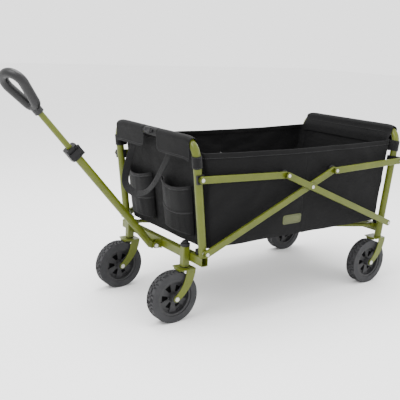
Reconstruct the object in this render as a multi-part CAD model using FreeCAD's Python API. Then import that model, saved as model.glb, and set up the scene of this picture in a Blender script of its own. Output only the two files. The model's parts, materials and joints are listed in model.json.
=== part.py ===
"""Folding wagon with a telescopic pull handle, as separate pieces in one frame.

Millimetres. +X points to the rear of the wagon, +Y to its right side, +Z up.
The floor is z = 0. Positions below are measured from the middle of the wagon's
frame, and FRAME_SHIFT moves everything so that the whole wagon, with its handle
out in front, is centred on the origin.
"""
import FreeCAD, Part
import math
import os

os.makedirs("parts", exist_ok=True)
V = FreeCAD.Vector

# --- driving dimensions -------------------------------------------------------
FRAME_SHIFT = 258.8          # along X, from the frame's middle to the wagon's middle

# end frames: bent round tube, leaning outwards
HALF_LENGTH = 453.0          # lower link pivots, from the frame's middle
PIVOT_HEIGHT = 257.0         # lower link pivots above the floor
LEAN = 7.0                   # degrees that each end frame leans outwards
POST_Y = 260.0               # post axis from the wagon's centre plane
POST_RADIUS = 14.0
TUBE_WALL = 1.5
BEND_RADIUS = 56.0
FRAME_TOP = 380.0            # axis of the top bar above the lower pivot, along the post
FRONT_POST_FOOT = -25.0      # past the crossbar, before the posts are cut level
REAR_POST_FOOT = -75.0       # past the rear forks, before the posts are cut level

# side linkage: flat oval tube in two layers outside the posts
LINK_HEIGHT = 24.0
LINK_THICKNESS = 12.0
LINK_WALL = 1.2
LINK_GAP = 1.0               # between the two layers
INNER_LAYER = 277.5          # inner face of the inner layer
CROSS_HEIGHT = 449.0         # scissor rivet above the floor
ARM_BEYOND_CROSS = 131.0     # from the scissor rivet to the upper joints
UPPER_PIVOT = 512.0          # upper link pivots on the posts, above the floor
RIVET_RADIUS = 3.0
HEAD_RADIUS = 6.5
HEAD_THICKNESS = 2.2
RUNNING = 0.05               # radial clearance of a turning rivet

# wheels and forks
WHEEL_RADIUS = 90.0
TYRE_WIDTH = 40.0
TYRE_INNER = 66.0
RIM_INNER = 57.0
RIM_WIDTH = 34.0
SPOKES = 6
SPOKE_HALF = 6.0             # half the spokes' depth along the axle
WEB_HALF = 1.5               # half the thickness of the web between the spokes
BARREL_RADIUS = 16.0
BARREL_HALF = 26.0
AXLE_RADIUS = 4.0
FORK_HALF = 31.5             # outer face of a fork leg from the wheel's centre
SHEET = 3.0                  # pressed steel of the forks and brackets
TRAIL = 46.0                 # wheel axle ahead of the fork's stem
CROWN_TOP = 190.0
SWIVEL_X = -478.0            # front swivel axis
SWIVEL_Y = 192.0
STEM_RADIUS = 8.0
HEAD_TUBE_SIDE = 26.0
HEAD_TUBE_LOW = 193.3
HEAD_TUBE_TOP = 265.0
CAP_RADIUS = 17.0            # round cap over each head tube
CAP_HEIGHT = 11.0
KNOB_RADIUS = 11.5
REAR_FORK_X = 438.0          # middle of the rear forks' crowns
REAR_WHEEL_Y = 252.0

# crossbars and the folding arms under the floor
BAR_LOW = 211.0
BAR_TOP = 242.0
BAR_FRONT = -465.0           # front face of the front crossbar
BAR_DEPTH = 26.0
BAR_WALL = 2.0
BAR_CORNER = 3.0
EAR_LOW = 228.0              # ears on the crossbars that hold the arms' roots
EAR_TOP = 240.0
EAR_RADIUS = 7.0
EAR_CLEARANCE = 1.0
ARM_RADIUS = 8.0
ARM_HEIGHT = 238.0
ARM_ROOT_X = 425.0
ARM_ROOT_Y = 232.0
ARM_TIP_X = 32.0
ARM_NECK = 26.0              # straight length at each end of an arm
FRONT_TIP_Y = 34.0
REAR_TIP_Y = 54.0
PIN_RADIUS = 3.5

# fabric tub
PANEL_THICKNESS = 3.0
SIDE_THICKNESS = 4.0
SIDE_FACE_Y = 252.0          # inner face of the side panels
TUB_LOW = 264.0
RIM_HEIGHT = 592.0
FLOOR_THICKNESS = 5.0
FLAP_THICKNESS = 2.2
FLAP_DROP = 66.0             # from the top bar's axis down to a flap's lower edge
FLAP_OUTER_Y = 236.0
FLAP_INNER_Y = 52.0
POCKET_DEPTH = 30.0
POCKET_LOW = 295.0
POCKET_TOP = 475.0
RIGHT_POCKET_Y = (50.0, 226.0)   # inner and outer side of each pocket
LEFT_POCKET_Y = (14.0, 202.0)
POCKET_WALL = 2.2
CLIP_HEIGHT = 30.0           # moulded clips where the upper links meet the posts
COLLAR_HEIGHT = 40.0         # fabric collars that tie the tub's corners to the posts
COLLAR_RADIUS = 16.4
STRAP_LEFT = -112.0          # webbing loop in front of the tub
STRAP_RIGHT = 130.0
STRAP_WIDTH = 27.0
STRAP_THICKNESS = 2.5
STRAP_LOW = 158.0            # above the lower pivot, along the post
STRAP_SWING = 20.0           # degrees that it hangs away from the panel

# pull handle, in its own frame: +Z along the tubes from the foot
HANDLE_ANGLE = 49.6          # degrees above the floor
HANDLE_FOOT_X = -496.5
HANDLE_PIVOT_X = -488.0
HANDLE_PIVOT_Z = 219.0
LOWER_TUBE_RADIUS = 14.0
UPPER_TUBE_RADIUS = 10.0
LOWER_TUBE_END = 455.0
CLAMP_LOW = 448.0
CLAMP_TOP = 492.0
UPPER_TUBE_LOW = 215.0
GRIP_LOW = 644.0
GRIP_TOP = 816.0
GRIP_SECTION = 15.5
GRIP_SMALL_END = 19.0        # radii of the loop's two ends, to the middle of its section
GRIP_LARGE_END = 38.0
GRIP_NECK = 46.0             # from the collar's foot to the small end's centre
GRIP_TURN = 22.0             # degrees that the loop is turned about the handle

# --- places worked out from them ----------------------------------------------
OUTER_LAYER = INNER_LAYER + LINK_THICKNESS + LINK_GAP
PANEL_FACE = POST_RADIUS + 0.6          # outer face of an end panel, inwards from the posts
LOWER = V(-HALF_LENGTH, 0, PIVOT_HEIGHT)
CROSS = V(0, 0, CROSS_HEIGHT)
LONG_TO_CROSS = (CROSS - LOWER).Length
UPPER_JOINT = CROSS + (CROSS - LOWER).normalize() * ARM_BEYOND_CROSS
POST_JOINT = V(-HALF_LENGTH - (UPPER_PIVOT - PIVOT_HEIGHT) * math.tan(math.radians(LEAN)),
               0, UPPER_PIVOT)


# --- helpers ------------------------------------------------------------------
def block(x0, x1, y0, y1, z0, z1):
    """Box between two corners, given in any order."""
    low = V(min(x0, x1), min(y0, y1), min(z0, z1))
    return Part.makeBox(abs(x1 - x0), abs(y1 - y0), abs(z1 - z0), low)


def rod(start, end, radius):
    """Round rod from one point to another."""
    way = end - start
    return Part.makeCylinder(radius, way.Length, start, way)


def rod_y(x, y0, y1, z, radius):
    """Round rod along Y."""
    return rod(V(x, min(y0, y1), z), V(x, max(y0, y1), z), radius)


def mirrored(shape):
    """The same piece on the other side of the wagon's centre plane."""
    return shape.mirror(V(0, 0, 0), V(0, 1, 0))


def both_sides(shape):
    """A left and a right copy, as one group of separate solids."""
    return Part.makeCompound([mirrored(shape), shape])


def fillet_along(shape, direction, radius):
    """Round the straight edges that run along a direction."""
    edges = []
    for edge in shape.Edges:
        if edge.Curve.TypeId != "Part::GeomLine":
            continue
        along = edge.tangentAt(edge.FirstParameter)
        if abs(along.dot(direction)) > 0.999:
            edges.append(edge)
    return shape.makeFillet(radius, edges)


def lean_front(shape):
    """Take a piece from an upright end frame to the leaning front frame."""
    turned = shape.copy()
    turned.rotate(V(0, 0, 0), V(0, 1, 0), -LEAN)
    turned.translate(V(-HALF_LENGTH, 0, PIVOT_HEIGHT))
    return turned


def lean_rear(shape):
    """The same for the rear frame, which is the front one turned about."""
    return lean_front(shape).mirror(V(0, 0, 0), V(1, 0, 0))


def raise_handle(shape):
    """Take a piece from the upright handle to its raised place."""
    turned = shape.copy()
    turned.rotate(V(0, 0, 0), V(0, 1, 0), HANDLE_ANGLE - 90)
    turned.translate(V(HANDLE_FOOT_X, 0, HANDLE_PIVOT_Z))
    return turned


def save(name, shape):
    """Move a finished sub-part to the wagon's own origin and write it."""
    placed = shape.copy()
    placed.translate(V(FRAME_SHIFT, 0, 0))
    solids = placed.Solids
    if not placed.isValid() or not solids:
        print("check", name, placed.isValid(), len(solids))
    if len(solids) == 1:
        placed = solids[0]
    placed.exportStep("parts/%s.step" % name)


# --- end frames ---------------------------------------------------------------
def bent_bar(foot, radius):
    """Upside-down U of round bar: leg, bend, top bar, bend, leg."""
    bend_y = POST_Y - BEND_RADIUS
    bend_z = FRAME_TOP - BEND_RADIUS
    diagonal = BEND_RADIUS * math.sqrt(0.5)
    corner_right = V(0, bend_y + diagonal, bend_z + diagonal)
    corner_left = V(0, -bend_y - diagonal, bend_z + diagonal)
    path = Part.Wire([
        Part.makeLine(V(0, POST_Y, foot), V(0, POST_Y, bend_z)),
        Part.Arc(V(0, POST_Y, bend_z), corner_right, V(0, bend_y, FRAME_TOP)).toShape(),
        Part.makeLine(V(0, bend_y, FRAME_TOP), V(0, -bend_y, FRAME_TOP)),
        Part.Arc(V(0, -bend_y, FRAME_TOP), corner_left, V(0, -POST_Y, bend_z)).toShape(),
        Part.makeLine(V(0, -POST_Y, bend_z), V(0, -POST_Y, foot)),
    ])
    section = Part.Wire([Part.makeCircle(radius, V(0, POST_Y, foot), V(0, 0, 1))])
    return path.makePipeShell([section], True, False)


def end_frame(foot):
    """Bent tube with its wall."""
    return bent_bar(foot, POST_RADIUS).cut(bent_bar(foot, POST_RADIUS - TUBE_WALL))


def square_tube_y(x0, x1, half_y, z0, z1):
    """Open-ended rectangular tube across the wagon."""
    outer = fillet_along(block(x0, x1, -half_y, half_y, z0, z1), V(0, 1, 0), BAR_CORNER)
    inner = block(x0 + BAR_WALL, x1 - BAR_WALL, -half_y, half_y, z0 + BAR_WALL, z1 - BAR_WALL)
    return outer.cut(inner)


def arm_ears(bar_face):
    """Two pairs of ears with pins that hold the roots of a pair of folding arms."""
    ears = []
    gap = ARM_RADIUS + EAR_CLEARANCE
    for side in (-1, 1):
        for step in (-1, 1):
            near = side * ARM_ROOT_Y + step * gap
            far = near + step * SHEET
            ears.append(block(bar_face, -ARM_ROOT_X, near, far, EAR_LOW, EAR_TOP))
            ears.append(rod_y(-ARM_ROOT_X, near, far, ARM_HEIGHT, EAR_RADIUS))
        ears.append(rod_y(-ARM_ROOT_X, side * ARM_ROOT_Y - gap - SHEET,
                          side * ARM_ROOT_Y + gap + SHEET, ARM_HEIGHT, PIN_RADIUS))
    return ears


def front_crossbar():
    """Square bar under the front posts, with ears for the folding arms behind it."""
    rear = BAR_FRONT + BAR_DEPTH
    bar = square_tube_y(BAR_FRONT, rear, POST_Y + POST_RADIUS, BAR_LOW, BAR_TOP)
    return bar.multiFuse(arm_ears(rear))


def rear_crossbar():
    """Square bar between the rear posts, with the same ears."""
    face = BAR_FRONT + BAR_DEPTH
    bar = square_tube_y(BAR_FRONT, face, POST_Y, BAR_LOW, BAR_TOP)
    post = lean_front(rod(V(0, POST_Y, REAR_POST_FOOT), V(0, POST_Y, 40), POST_RADIUS + 0.1))
    beyond = block(-600, -300, POST_Y - 5, POST_Y + 5, BAR_LOW, BAR_TOP)
    bar = bar.multiFuse(arm_ears(face))
    bar = bar.cut(post).cut(mirrored(post)).cut(beyond).cut(mirrored(beyond))
    return bar.mirror(V(0, 0, 0), V(1, 0, 0))


def head_tube():
    """Upright square tube, bored for a caster's stem."""
    half = HEAD_TUBE_SIDE / 2
    tube = block(SWIVEL_X - half, SWIVEL_X + half, SWIVEL_Y - half, SWIVEL_Y + half,
                 HEAD_TUBE_LOW, HEAD_TUBE_TOP)
    tube = fillet_along(tube, V(0, 0, 1), 4.0)
    bore = Part.makeCylinder(STEM_RADIUS + RUNNING, 90, V(SWIVEL_X, SWIVEL_Y, 190))
    return tube.cut(bore)


def head_bearing():
    """Round cap over a head tube and the washer under it."""
    cap = Part.makeCylinder(CAP_RADIUS, CAP_HEIGHT, V(SWIVEL_X, SWIVEL_Y, HEAD_TUBE_TOP))
    cap = cap.makeFillet(2.0, [e for e in cap.Edges if e.BoundBox.ZLength < 0.01])
    knob = Part.makeCylinder(KNOB_RADIUS, CAP_HEIGHT + 8, V(SWIVEL_X, SWIVEL_Y, HEAD_TUBE_TOP))
    top_edge = [e for e in knob.Edges if e.BoundBox.ZMin > HEAD_TUBE_TOP + CAP_HEIGHT]
    knob = knob.makeFillet(3.0, top_edge)
    washer = Part.makeCylinder(14, 3, V(SWIVEL_X, SWIVEL_Y, CROWN_TOP + 0.3))
    bore = Part.makeCylinder(STEM_RADIUS + RUNNING, 10, V(SWIVEL_X, SWIVEL_Y, CROWN_TOP - 3))
    return [cap.fuse(knob), washer.cut(bore)]


def handle_bracket():
    """Two ears on the crossbar that hold the foot of the pull handle."""
    plate = block(BAR_FRONT - SHEET, BAR_FRONT, -24, 24, 207, 244)
    ears = []
    for side in (-1, 1):
        near = side * 17
        far = side * (17 + SHEET)
        ears.append(block(HANDLE_PIVOT_X, BAR_FRONT, near, far, 208, 230))
        ears.append(rod_y(HANDLE_PIVOT_X, near, far, HANDLE_PIVOT_Z, 11.0))
    shape = plate.multiFuse(ears)
    return shape.cut(rod_y(HANDLE_PIVOT_X, -30, 30, HANDLE_PIVOT_Z, RIVET_RADIUS + 1))


def post_clip(reach):
    """Moulded clip behind a post, with a pad that spaces a link away from the post."""
    height = (UPPER_PIVOT - PIVOT_HEIGHT) / math.cos(math.radians(LEAN))
    low = height - CLIP_HEIGHT / 2
    top = height + CLIP_HEIGHT / 2
    back = block(2, 14.2, POST_Y - 17, reach, low, top)
    pad = block(-13, 14.2, POST_Y + 8, reach, low, top)
    clip = back.fuse(pad).removeSplitter()
    return clip.cut(rod(V(0, POST_Y, low - 10), V(0, POST_Y, top + 10), POST_RADIUS))


def post_collar():
    """Fabric collar that ties a corner of the tub to its post."""
    low = FRAME_TOP - BEND_RADIUS - COLLAR_HEIGHT
    outer = Part.makeCylinder(COLLAR_RADIUS, COLLAR_HEIGHT, V(0, POST_Y, low))
    return outer.cut(Part.makeCylinder(POST_RADIUS + 0.1, COLLAR_HEIGHT, V(0, POST_Y, low)))


# --- side linkage -------------------------------------------------------------
def turned_about(point):
    """The same place seen from the other end of the wagon."""
    return V(-point.x, point.y, point.z)


def link(start, end, inner_y, holes):
    """Flat oval tube between two pivots, with round ends and drilled holes."""
    way = end - start
    half = LINK_HEIGHT / 2
    outer = [block(0, way.Length, 0, LINK_THICKNESS, -half, half)]
    for x in (0, way.Length):
        outer.append(rod_y(x, 0, LINK_THICKNESS, 0, half))
    shape = outer[0].multiFuse(outer[1:]).removeSplitter()
    rim = [e for e in shape.Edges if e.BoundBox.YLength < 0.01]
    shape = shape.makeFillet(3.0, rim)
    hollow = block(-LINK_HEIGHT, way.Length + LINK_HEIGHT, LINK_WALL,
                   LINK_THICKNESS - LINK_WALL, LINK_WALL - half + 1.5, half - LINK_WALL - 1.5)
    shape = shape.cut(hollow)
    for place in holes:
        shape = shape.cut(rod_y(place, -5, LINK_THICKNESS + 5, 0, RIVET_RADIUS + RUNNING))
    shape.rotate(V(0, 0, 0), V(0, 1, 0), -math.degrees(math.atan2(way.z, way.x)))
    shape.translate(V(start.x, inner_y, start.z))
    return shape


def rivet_head(point, face_y):
    """Domed head of a rivet, standing on the face of its link."""
    head = rod_y(point.x, face_y, face_y + HEAD_THICKNESS, point.z, HEAD_RADIUS)
    outer_edge = [e for e in head.Edges if e.BoundBox.YLength < 0.01 and e.BoundBox.YMax > face_y + 1]
    return head.makeFillet(HEAD_THICKNESS / 2, outer_edge)


def rivet(point, start_y, end_y):
    """Shaft along Y with a domed head at its outer end."""
    return rod_y(point.x, start_y, end_y, point.z, RIVET_RADIUS).fuse(rivet_head(point, end_y))


# --- wheels and forks ---------------------------------------------------------
def revolve_about_axle(outline):
    """Solid of revolution about the Y axis from an outline in the XY plane."""
    wire = Part.makePolygon([V(r, y, 0) for r, y in outline + outline[:1]])
    return Part.Face(wire).revolve(V(0, 0, 0), V(0, 1, 0), 360)


def tyre():
    """Solid foam tyre with rounded shoulders."""
    half = TYRE_WIDTH / 2
    outline = [(TYRE_INNER, -half + 2), (TYRE_INNER, half - 2), (WHEEL_RADIUS - 14, half),
               (WHEEL_RADIUS - 7, half - 2), (WHEEL_RADIUS - 2, half - 7), (WHEEL_RADIUS, half - 13),
               (WHEEL_RADIUS, 13 - half), (WHEEL_RADIUS - 2, 7 - half), (WHEEL_RADIUS - 7, 2 - half),
               (WHEEL_RADIUS - 14, -half)]
    return revolve_about_axle(outline)


def hub():
    """Moulded rim, wedge-shaped spokes on a thin web, and a long barrel for the axle."""
    half = RIM_WIDTH / 2
    rim = revolve_about_axle([(RIM_INNER, -half), (RIM_INNER, half), (TYRE_INNER, half), (TYRE_INNER, -half)])
    disc = Part.makeCylinder(RIM_INNER + 1, 2 * SPOKE_HALF, V(0, -SPOKE_HALF, 0), V(0, 1, 0))
    barrel = Part.makeCylinder(BARREL_RADIUS, 2 * BARREL_HALF, V(0, -BARREL_HALF, 0), V(0, 1, 0))
    shape = rim.multiFuse([disc, barrel])
    opening_angle = math.radians(360 / SPOKES * 0.25)
    for index in range(SPOKES):
        middle = 2 * math.pi * index / SPOKES
        corners = []
        for radius, turn in ((BARREL_RADIUS + 5, -0.8), (RIM_INNER - 2, -1.0),
                             (RIM_INNER - 2, 1.0), (BARREL_RADIUS + 5, 0.8)):
            angle = middle + turn * opening_angle
            corners.append(V(radius * math.cos(angle), WEB_HALF, radius * math.sin(angle)))
        pocket_right = Part.Face(Part.makePolygon(corners + corners[:1])).extrude(V(0, RIM_WIDTH, 0))
        shape = shape.cut(pocket_right).cut(mirrored(pocket_right))
    bore = Part.makeCylinder(AXLE_RADIUS + RUNNING, 80, V(0, -40, 0), V(0, 1, 0))
    return shape.cut(bore)


def fork_leg(y_inner):
    """Curved leg of pressed steel from the crown down to the axle, fork stem at x = 0."""
    low = WHEEL_RADIUS
    top = CROWN_TOP - SHEET
    rear_top = V(27, y_inner, top)
    rear_low = V(-TRAIL + 9.2, y_inner, low - 6.5)
    front_low = V(-TRAIL - 9.2, y_inner, low + 6.5)
    front_top = V(-10, y_inner, top)
    rear_edge = Part.Arc(rear_top, V(7, y_inner, low + 38), rear_low)
    toe = Part.Arc(rear_low, V(-TRAIL - 6.5, y_inner, low - 9.2), front_low)
    front_edge = Part.Arc(front_low, V(-22, y_inner, low + 48), front_top)
    outline = Part.Wire([rear_edge.toShape(), toe.toShape(), front_edge.toShape(),
                         Part.makeLine(front_top, rear_top)])
    leg = Part.Face(outline).extrude(V(0, SHEET, 0))
    return leg.cut(rod_y(-TRAIL, y_inner - 5, y_inner + 10, low, AXLE_RADIUS))


def fork(stem_top):
    """Crown plate with a folded front lip, two legs and, on a caster, a stem."""
    crown = block(-30, 29, -FORK_HALF, FORK_HALF, CROWN_TOP - SHEET, CROWN_TOP)
    crown = fillet_along(crown, V(0, 0, 1), 4.0)
    lip = block(-30, -27, -20, 20, CROWN_TOP - 9, CROWN_TOP - SHEET)
    parts = [lip, fork_leg(FORK_HALF - SHEET), fork_leg(-FORK_HALF)]
    if stem_top:
        parts.append(Part.makeCylinder(STEM_RADIUS, stem_top - CROWN_TOP, V(0, 0, CROWN_TOP)))
    return crown.multiFuse(parts)


def axle():
    """Axle through both fork legs with a head at each end."""
    shaft = rod_y(-TRAIL, -FORK_HALF, FORK_HALF, WHEEL_RADIUS, AXLE_RADIUS)
    heads = [rod_y(-TRAIL, side * FORK_HALF, side * (FORK_HALF + 2.5), WHEEL_RADIUS, 8.0)
             for side in (-1, 1)]
    return shaft.multiFuse(heads)


def at(shape, x, y, z=0):
    """A moved copy."""
    moved = shape.copy()
    moved.translate(V(x, y, z))
    return moved


# --- folding arms under the floor ---------------------------------------------
def folding_arm(tip_y):
    """Round arm from a corner of the frame towards the middle, with a barrel at each end."""
    root = V(-ARM_ROOT_X, ARM_ROOT_Y, ARM_HEIGHT)
    tip = V(-ARM_TIP_X, tip_y, ARM_HEIGHT)
    root_neck = root + V(ARM_NECK, 0, 0)
    tip_neck = tip - V(ARM_NECK, 0, 0)
    shape = rod(root_neck, tip_neck, ARM_RADIUS)
    parts = [rod(root, root_neck, ARM_RADIUS), rod(tip_neck, tip, ARM_RADIUS)]
    for corner in (root_neck, tip_neck):
        parts.append(Part.makeSphere(ARM_RADIUS, corner))
    for end in (root, tip):
        parts.append(rod_y(end.x, end.y - ARM_RADIUS, end.y + ARM_RADIUS, end.z, ARM_RADIUS + 1))
    shape = shape.multiFuse(parts)
    for end in (root, tip):
        shape = shape.cut(rod_y(end.x, end.y - 30, end.y + 30, end.z, PIN_RADIUS + RUNNING))
    return shape


def floor_hub():
    """Block where the folding arms meet, with pins for the front pair and stubs for the rear pair."""
    half_y = FRONT_TIP_Y - ARM_RADIUS - 0.5
    body = block(-ARM_TIP_X - 12, ARM_TIP_X + 12, -half_y, half_y, ARM_HEIGHT - 11, ARM_HEIGHT + 11)
    body = fillet_along(body, V(0, 1, 0), 8.0)
    pins = [rod_y(-ARM_TIP_X, -FRONT_TIP_Y - 9, FRONT_TIP_Y + 9, ARM_HEIGHT, PIN_RADIUS)]
    stub_y = REAR_TIP_Y - ARM_RADIUS - 0.5
    pins.append(rod_y(ARM_TIP_X, -stub_y, stub_y, ARM_HEIGHT, ARM_RADIUS))
    return body.multiFuse(pins)


# --- fabric tub ---------------------------------------------------------------
def inward(height, offset):
    """X of a point on the front frame, offset inwards from the post axis, at a height."""
    lean = math.radians(LEAN)
    return -HALF_LENGTH - (height - PIVOT_HEIGHT) * math.tan(lean) + offset / math.cos(lean)


def end_panel():
    """Fabric end of the tub, upright, from the floor up to the top bar."""
    low = (TUB_LOW - PIVOT_HEIGHT) - 1
    top = FRAME_TOP - 24
    half = SIDE_FACE_Y - 0.6
    shoulder = 60.0
    outline = [V(PANEL_FACE, -half, low), V(PANEL_FACE, half, low),
               V(PANEL_FACE, half, top - shoulder), V(PANEL_FACE, FLAP_OUTER_Y - 6, top),
               V(PANEL_FACE, 6 - FLAP_OUTER_Y, top), V(PANEL_FACE, -half, top - shoulder)]
    return Part.Face(Part.makePolygon(outline + outline[:1])).extrude(V(PANEL_THICKNESS, 0, 0))


def flap(y0, y1, corner):
    """Fabric folded over the top bar, from the tub's inside down to a free outer edge."""
    inner = POST_RADIUS + 0.2
    outer = inner + FLAP_THICKNESS
    drop = FRAME_TOP - FLAP_DROP
    shell = rod(V(0, y0, FRAME_TOP), V(0, y1, FRAME_TOP), outer)
    front_leg = block(-outer, -inner, y0, y1, drop, FRAME_TOP)
    if corner:
        edges = [e for e in front_leg.Edges
                 if e.BoundBox.XLength > 1 and e.BoundBox.ZMax < drop + 0.1
                 and abs(e.BoundBox.YMax - corner) < 0.1]
        front_leg = front_leg.makeFillet(24.0, edges)
    rear_leg = block(inner, outer, y0, y1, FRAME_TOP - 24, FRAME_TOP)
    bar = rod(V(0, y0 - 1, FRAME_TOP), V(0, y1 + 1, FRAME_TOP), inner)
    below = block(-inner, inner, y0 - 1, y1 + 1, drop - 1, FRAME_TOP)
    return shell.cut(below).multiFuse([front_leg, rear_leg]).cut(bar).removeSplitter()


def side_panel():
    """Long side of the tub between the two end panels."""
    front = PANEL_FACE + PANEL_THICKNESS
    outline = []
    for height, sign in ((TUB_LOW, 1), (TUB_LOW, -1), (RIM_HEIGHT, -1), (RIM_HEIGHT, 1)):
        outline.append(V(sign * inward(height, front + 0.5), SIDE_FACE_Y, height))
    return Part.Face(Part.makePolygon(outline + outline[:1])).extrude(V(0, SIDE_THICKNESS, 0))


def floor_half(gap):
    """Half of the fabric floor, from an end panel to just short of the middle."""
    start = inward(TUB_LOW, PANEL_FACE + PANEL_THICKNESS + 2)
    return block(start, -gap, -SIDE_FACE_Y + 2, SIDE_FACE_Y - 2, TUB_LOW, TUB_LOW + FLOOR_THICKNESS)


def pocket(inner_y, outer_y):
    """Drink pocket on the front panel, open at the top: front, two sides and a bottom."""
    low = POCKET_LOW - PIVOT_HEIGHT
    top = POCKET_TOP - PIVOT_HEIGHT
    face = PANEL_FACE - POCKET_DEPTH
    inside = face + POCKET_WALL
    return [lean_front(wall) for wall in (
        block(face, inside, inner_y, outer_y, low, top),
        block(inside, PANEL_FACE, inner_y, inner_y + POCKET_WALL, low, top),
        block(inside, PANEL_FACE, outer_y - POCKET_WALL, outer_y, low, top),
        block(inside, PANEL_FACE, inner_y + POCKET_WALL, outer_y - POCKET_WALL, low, low + POCKET_WALL))]


def strap():
    """Webbing loop that hangs in front of the end panel."""
    top = FRAME_TOP - FLAP_DROP + 5
    turn = STRAP_LOW + 70
    middle = (STRAP_RIGHT + STRAP_LEFT) / 2

    def loop(inset):
        left = STRAP_LEFT + inset
        right = STRAP_RIGHT - inset
        sag = Part.Arc(V(0, left, turn), V(0, middle, STRAP_LOW + inset), V(0, right, turn))
        return [Part.makeLine(V(0, left, top), V(0, left, turn)), sag.toShape(),
                Part.makeLine(V(0, right, turn), V(0, right, top))]

    caps = [Part.makeLine(V(0, STRAP_RIGHT, top), V(0, STRAP_RIGHT - STRAP_THICKNESS, top)),
            Part.makeLine(V(0, STRAP_LEFT + STRAP_THICKNESS, top), V(0, STRAP_LEFT, top))]
    outline = Part.Wire(Part.__sortEdges__(loop(0.0) + loop(STRAP_THICKNESS) + caps))
    band = Part.Face(outline).extrude(V(-STRAP_WIDTH, 0, 0))
    band.translate(V(STRAP_WIDTH / 2 + 1.2, 0, 0))
    band.rotate(V(0, 0, top), V(0, 1, 0), STRAP_SWING)
    return band


def flap_buckle():
    """Clip with its webbing loop round the top bar, in the gap between the front flaps."""
    inner = POST_RADIUS + 0.2
    web = rod(V(0, -24, FRAME_TOP), V(0, 24, FRAME_TOP), inner + 2.0)
    web = web.cut(rod(V(0, -30, FRAME_TOP), V(0, 30, FRAME_TOP), inner))
    clip = block(-inner - 10, -inner - 1, -21, 21, FRAME_TOP - 9, FRAME_TOP + 9)
    clip = fillet_along(clip, V(1, 0, 0), 5.0)
    clip = clip.cut(rod(V(0, -30, FRAME_TOP), V(0, 30, FRAME_TOP), inner))
    return web.fuse(clip)


# --- pull handle --------------------------------------------------------------
def lower_handle():
    """Large tube with a flattened foot that turns on the bracket's bolt."""
    tube = Part.makeCylinder(LOWER_TUBE_RADIUS, LOWER_TUBE_END, V(0, 0, 0))
    tube = tube.cut(Part.makeCylinder(LOWER_TUBE_RADIUS - TUBE_WALL, LOWER_TUBE_END - 30, V(0, 0, 30)))
    angle = math.radians(HANDLE_ANGLE)
    reach = HANDLE_PIVOT_X - HANDLE_FOOT_X
    pivot = V(reach * math.sin(angle), 0, -reach * math.cos(angle))
    knuckle = rod_y(pivot.x, -15, 15, pivot.z, 10.0)
    neck = block(-10, pivot.x, -14, 14, pivot.z - 2, 22)
    shape = tube.multiFuse([knuckle, neck])
    return shape.cut(rod_y(pivot.x, -30, 30, pivot.z, RIVET_RADIUS + 1 + RUNNING))


def handle_clamp():
    """Moulded sleeve on the large tube that grips the small one, with ears for its lever."""
    height = CLAMP_TOP - CLAMP_LOW
    body = block(-22, 22, -19, 21, CLAMP_LOW, CLAMP_TOP)
    body = fillet_along(body, V(0, 0, 1), 11.0)
    ear = Part.makeCylinder(5.0, 8, V(20, -22, CLAMP_LOW + 4))
    second = Part.makeCylinder(5.0, 8, V(20, -22, CLAMP_TOP - 12))
    bridge = block(10, 21, -22, -10, CLAMP_LOW + 4, CLAMP_LOW + 12)
    bridge_top = block(10, 21, -22, -10, CLAMP_TOP - 12, CLAMP_TOP - 4)
    shape = body.multiFuse([ear, second, bridge, bridge_top])
    seat = Part.makeCylinder(LOWER_TUBE_RADIUS, LOWER_TUBE_END - CLAMP_LOW, V(0, 0, CLAMP_LOW))
    bore = Part.makeCylinder(UPPER_TUBE_RADIUS + 0.08, height + 2, V(0, 0, CLAMP_LOW - 1))
    pin = Part.makeCylinder(2.0 + RUNNING, height, V(20, -22, CLAMP_LOW))
    return shape.cut(seat).cut(bore).cut(pin)


def clamp_lever():
    """Cam lever that lies along the clamp's left face, with its own hinge pin."""
    low = CLAMP_LOW + 13
    top = CLAMP_TOP - 13
    barrel = Part.makeCylinder(4.6, top - low, V(20, -22, low))
    plate = block(-20, 20, -25.5, -20.5, low, top)
    tip = block(-25, -19, -25.5, -16.8, low, top)
    pin = Part.makeCylinder(2.0, CLAMP_TOP - CLAMP_LOW - 8, V(20, -22, CLAMP_LOW + 4))
    return barrel.multiFuse([plate, tip, pin])


def upper_handle():
    """Small tube that slides in the large one."""
    tube = Part.makeCylinder(UPPER_TUBE_RADIUS, GRIP_LOW - UPPER_TUBE_LOW, V(0, 0, UPPER_TUBE_LOW))
    return tube.cut(Part.makeCylinder(UPPER_TUBE_RADIUS - 1.2, 900, V(0, 0, 0)))


def grip():
    """Loop grip: a collar on the tube and a rounded loop, turned a little about the handle."""
    neck_z = GRIP_LOW + GRIP_NECK
    top_z = GRIP_TOP - GRIP_SECTION - GRIP_LARGE_END
    tilt = math.asin((GRIP_LARGE_END - GRIP_SMALL_END) / (top_z - neck_z))
    c = math.cos(tilt)
    s = math.sin(tilt)
    large_right = V(0, GRIP_LARGE_END * c, top_z - GRIP_LARGE_END * s)
    small_right = V(0, GRIP_SMALL_END * c, neck_z - GRIP_SMALL_END * s)
    large_left = V(0, -large_right.y, large_right.z)
    small_left = V(0, -small_right.y, small_right.z)
    path = Part.Wire([
        Part.makeLine(small_right, large_right),
        Part.Arc(large_right, V(0, 0, top_z + GRIP_LARGE_END), large_left).toShape(),
        Part.makeLine(large_left, small_left),
        Part.Arc(small_left, V(0, 0, neck_z - GRIP_SMALL_END), small_right).toShape(),
    ])
    way = (large_right - small_right).normalize()
    section = Part.Wire([Part.makeCircle(GRIP_SECTION, small_right, way)])
    loop = path.makePipeShell([section], True, True)
    collar = Part.makeCylinder(16.0, 30, V(0, 0, GRIP_LOW))
    plug = Part.makeCylinder(UPPER_TUBE_RADIUS - 1.2, 20, V(0, 0, GRIP_LOW - 20))
    shape = loop.multiFuse([collar, plug])
    shape.rotate(V(0, 0, 0), V(0, 0, 1), GRIP_TURN)
    return shape


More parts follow.
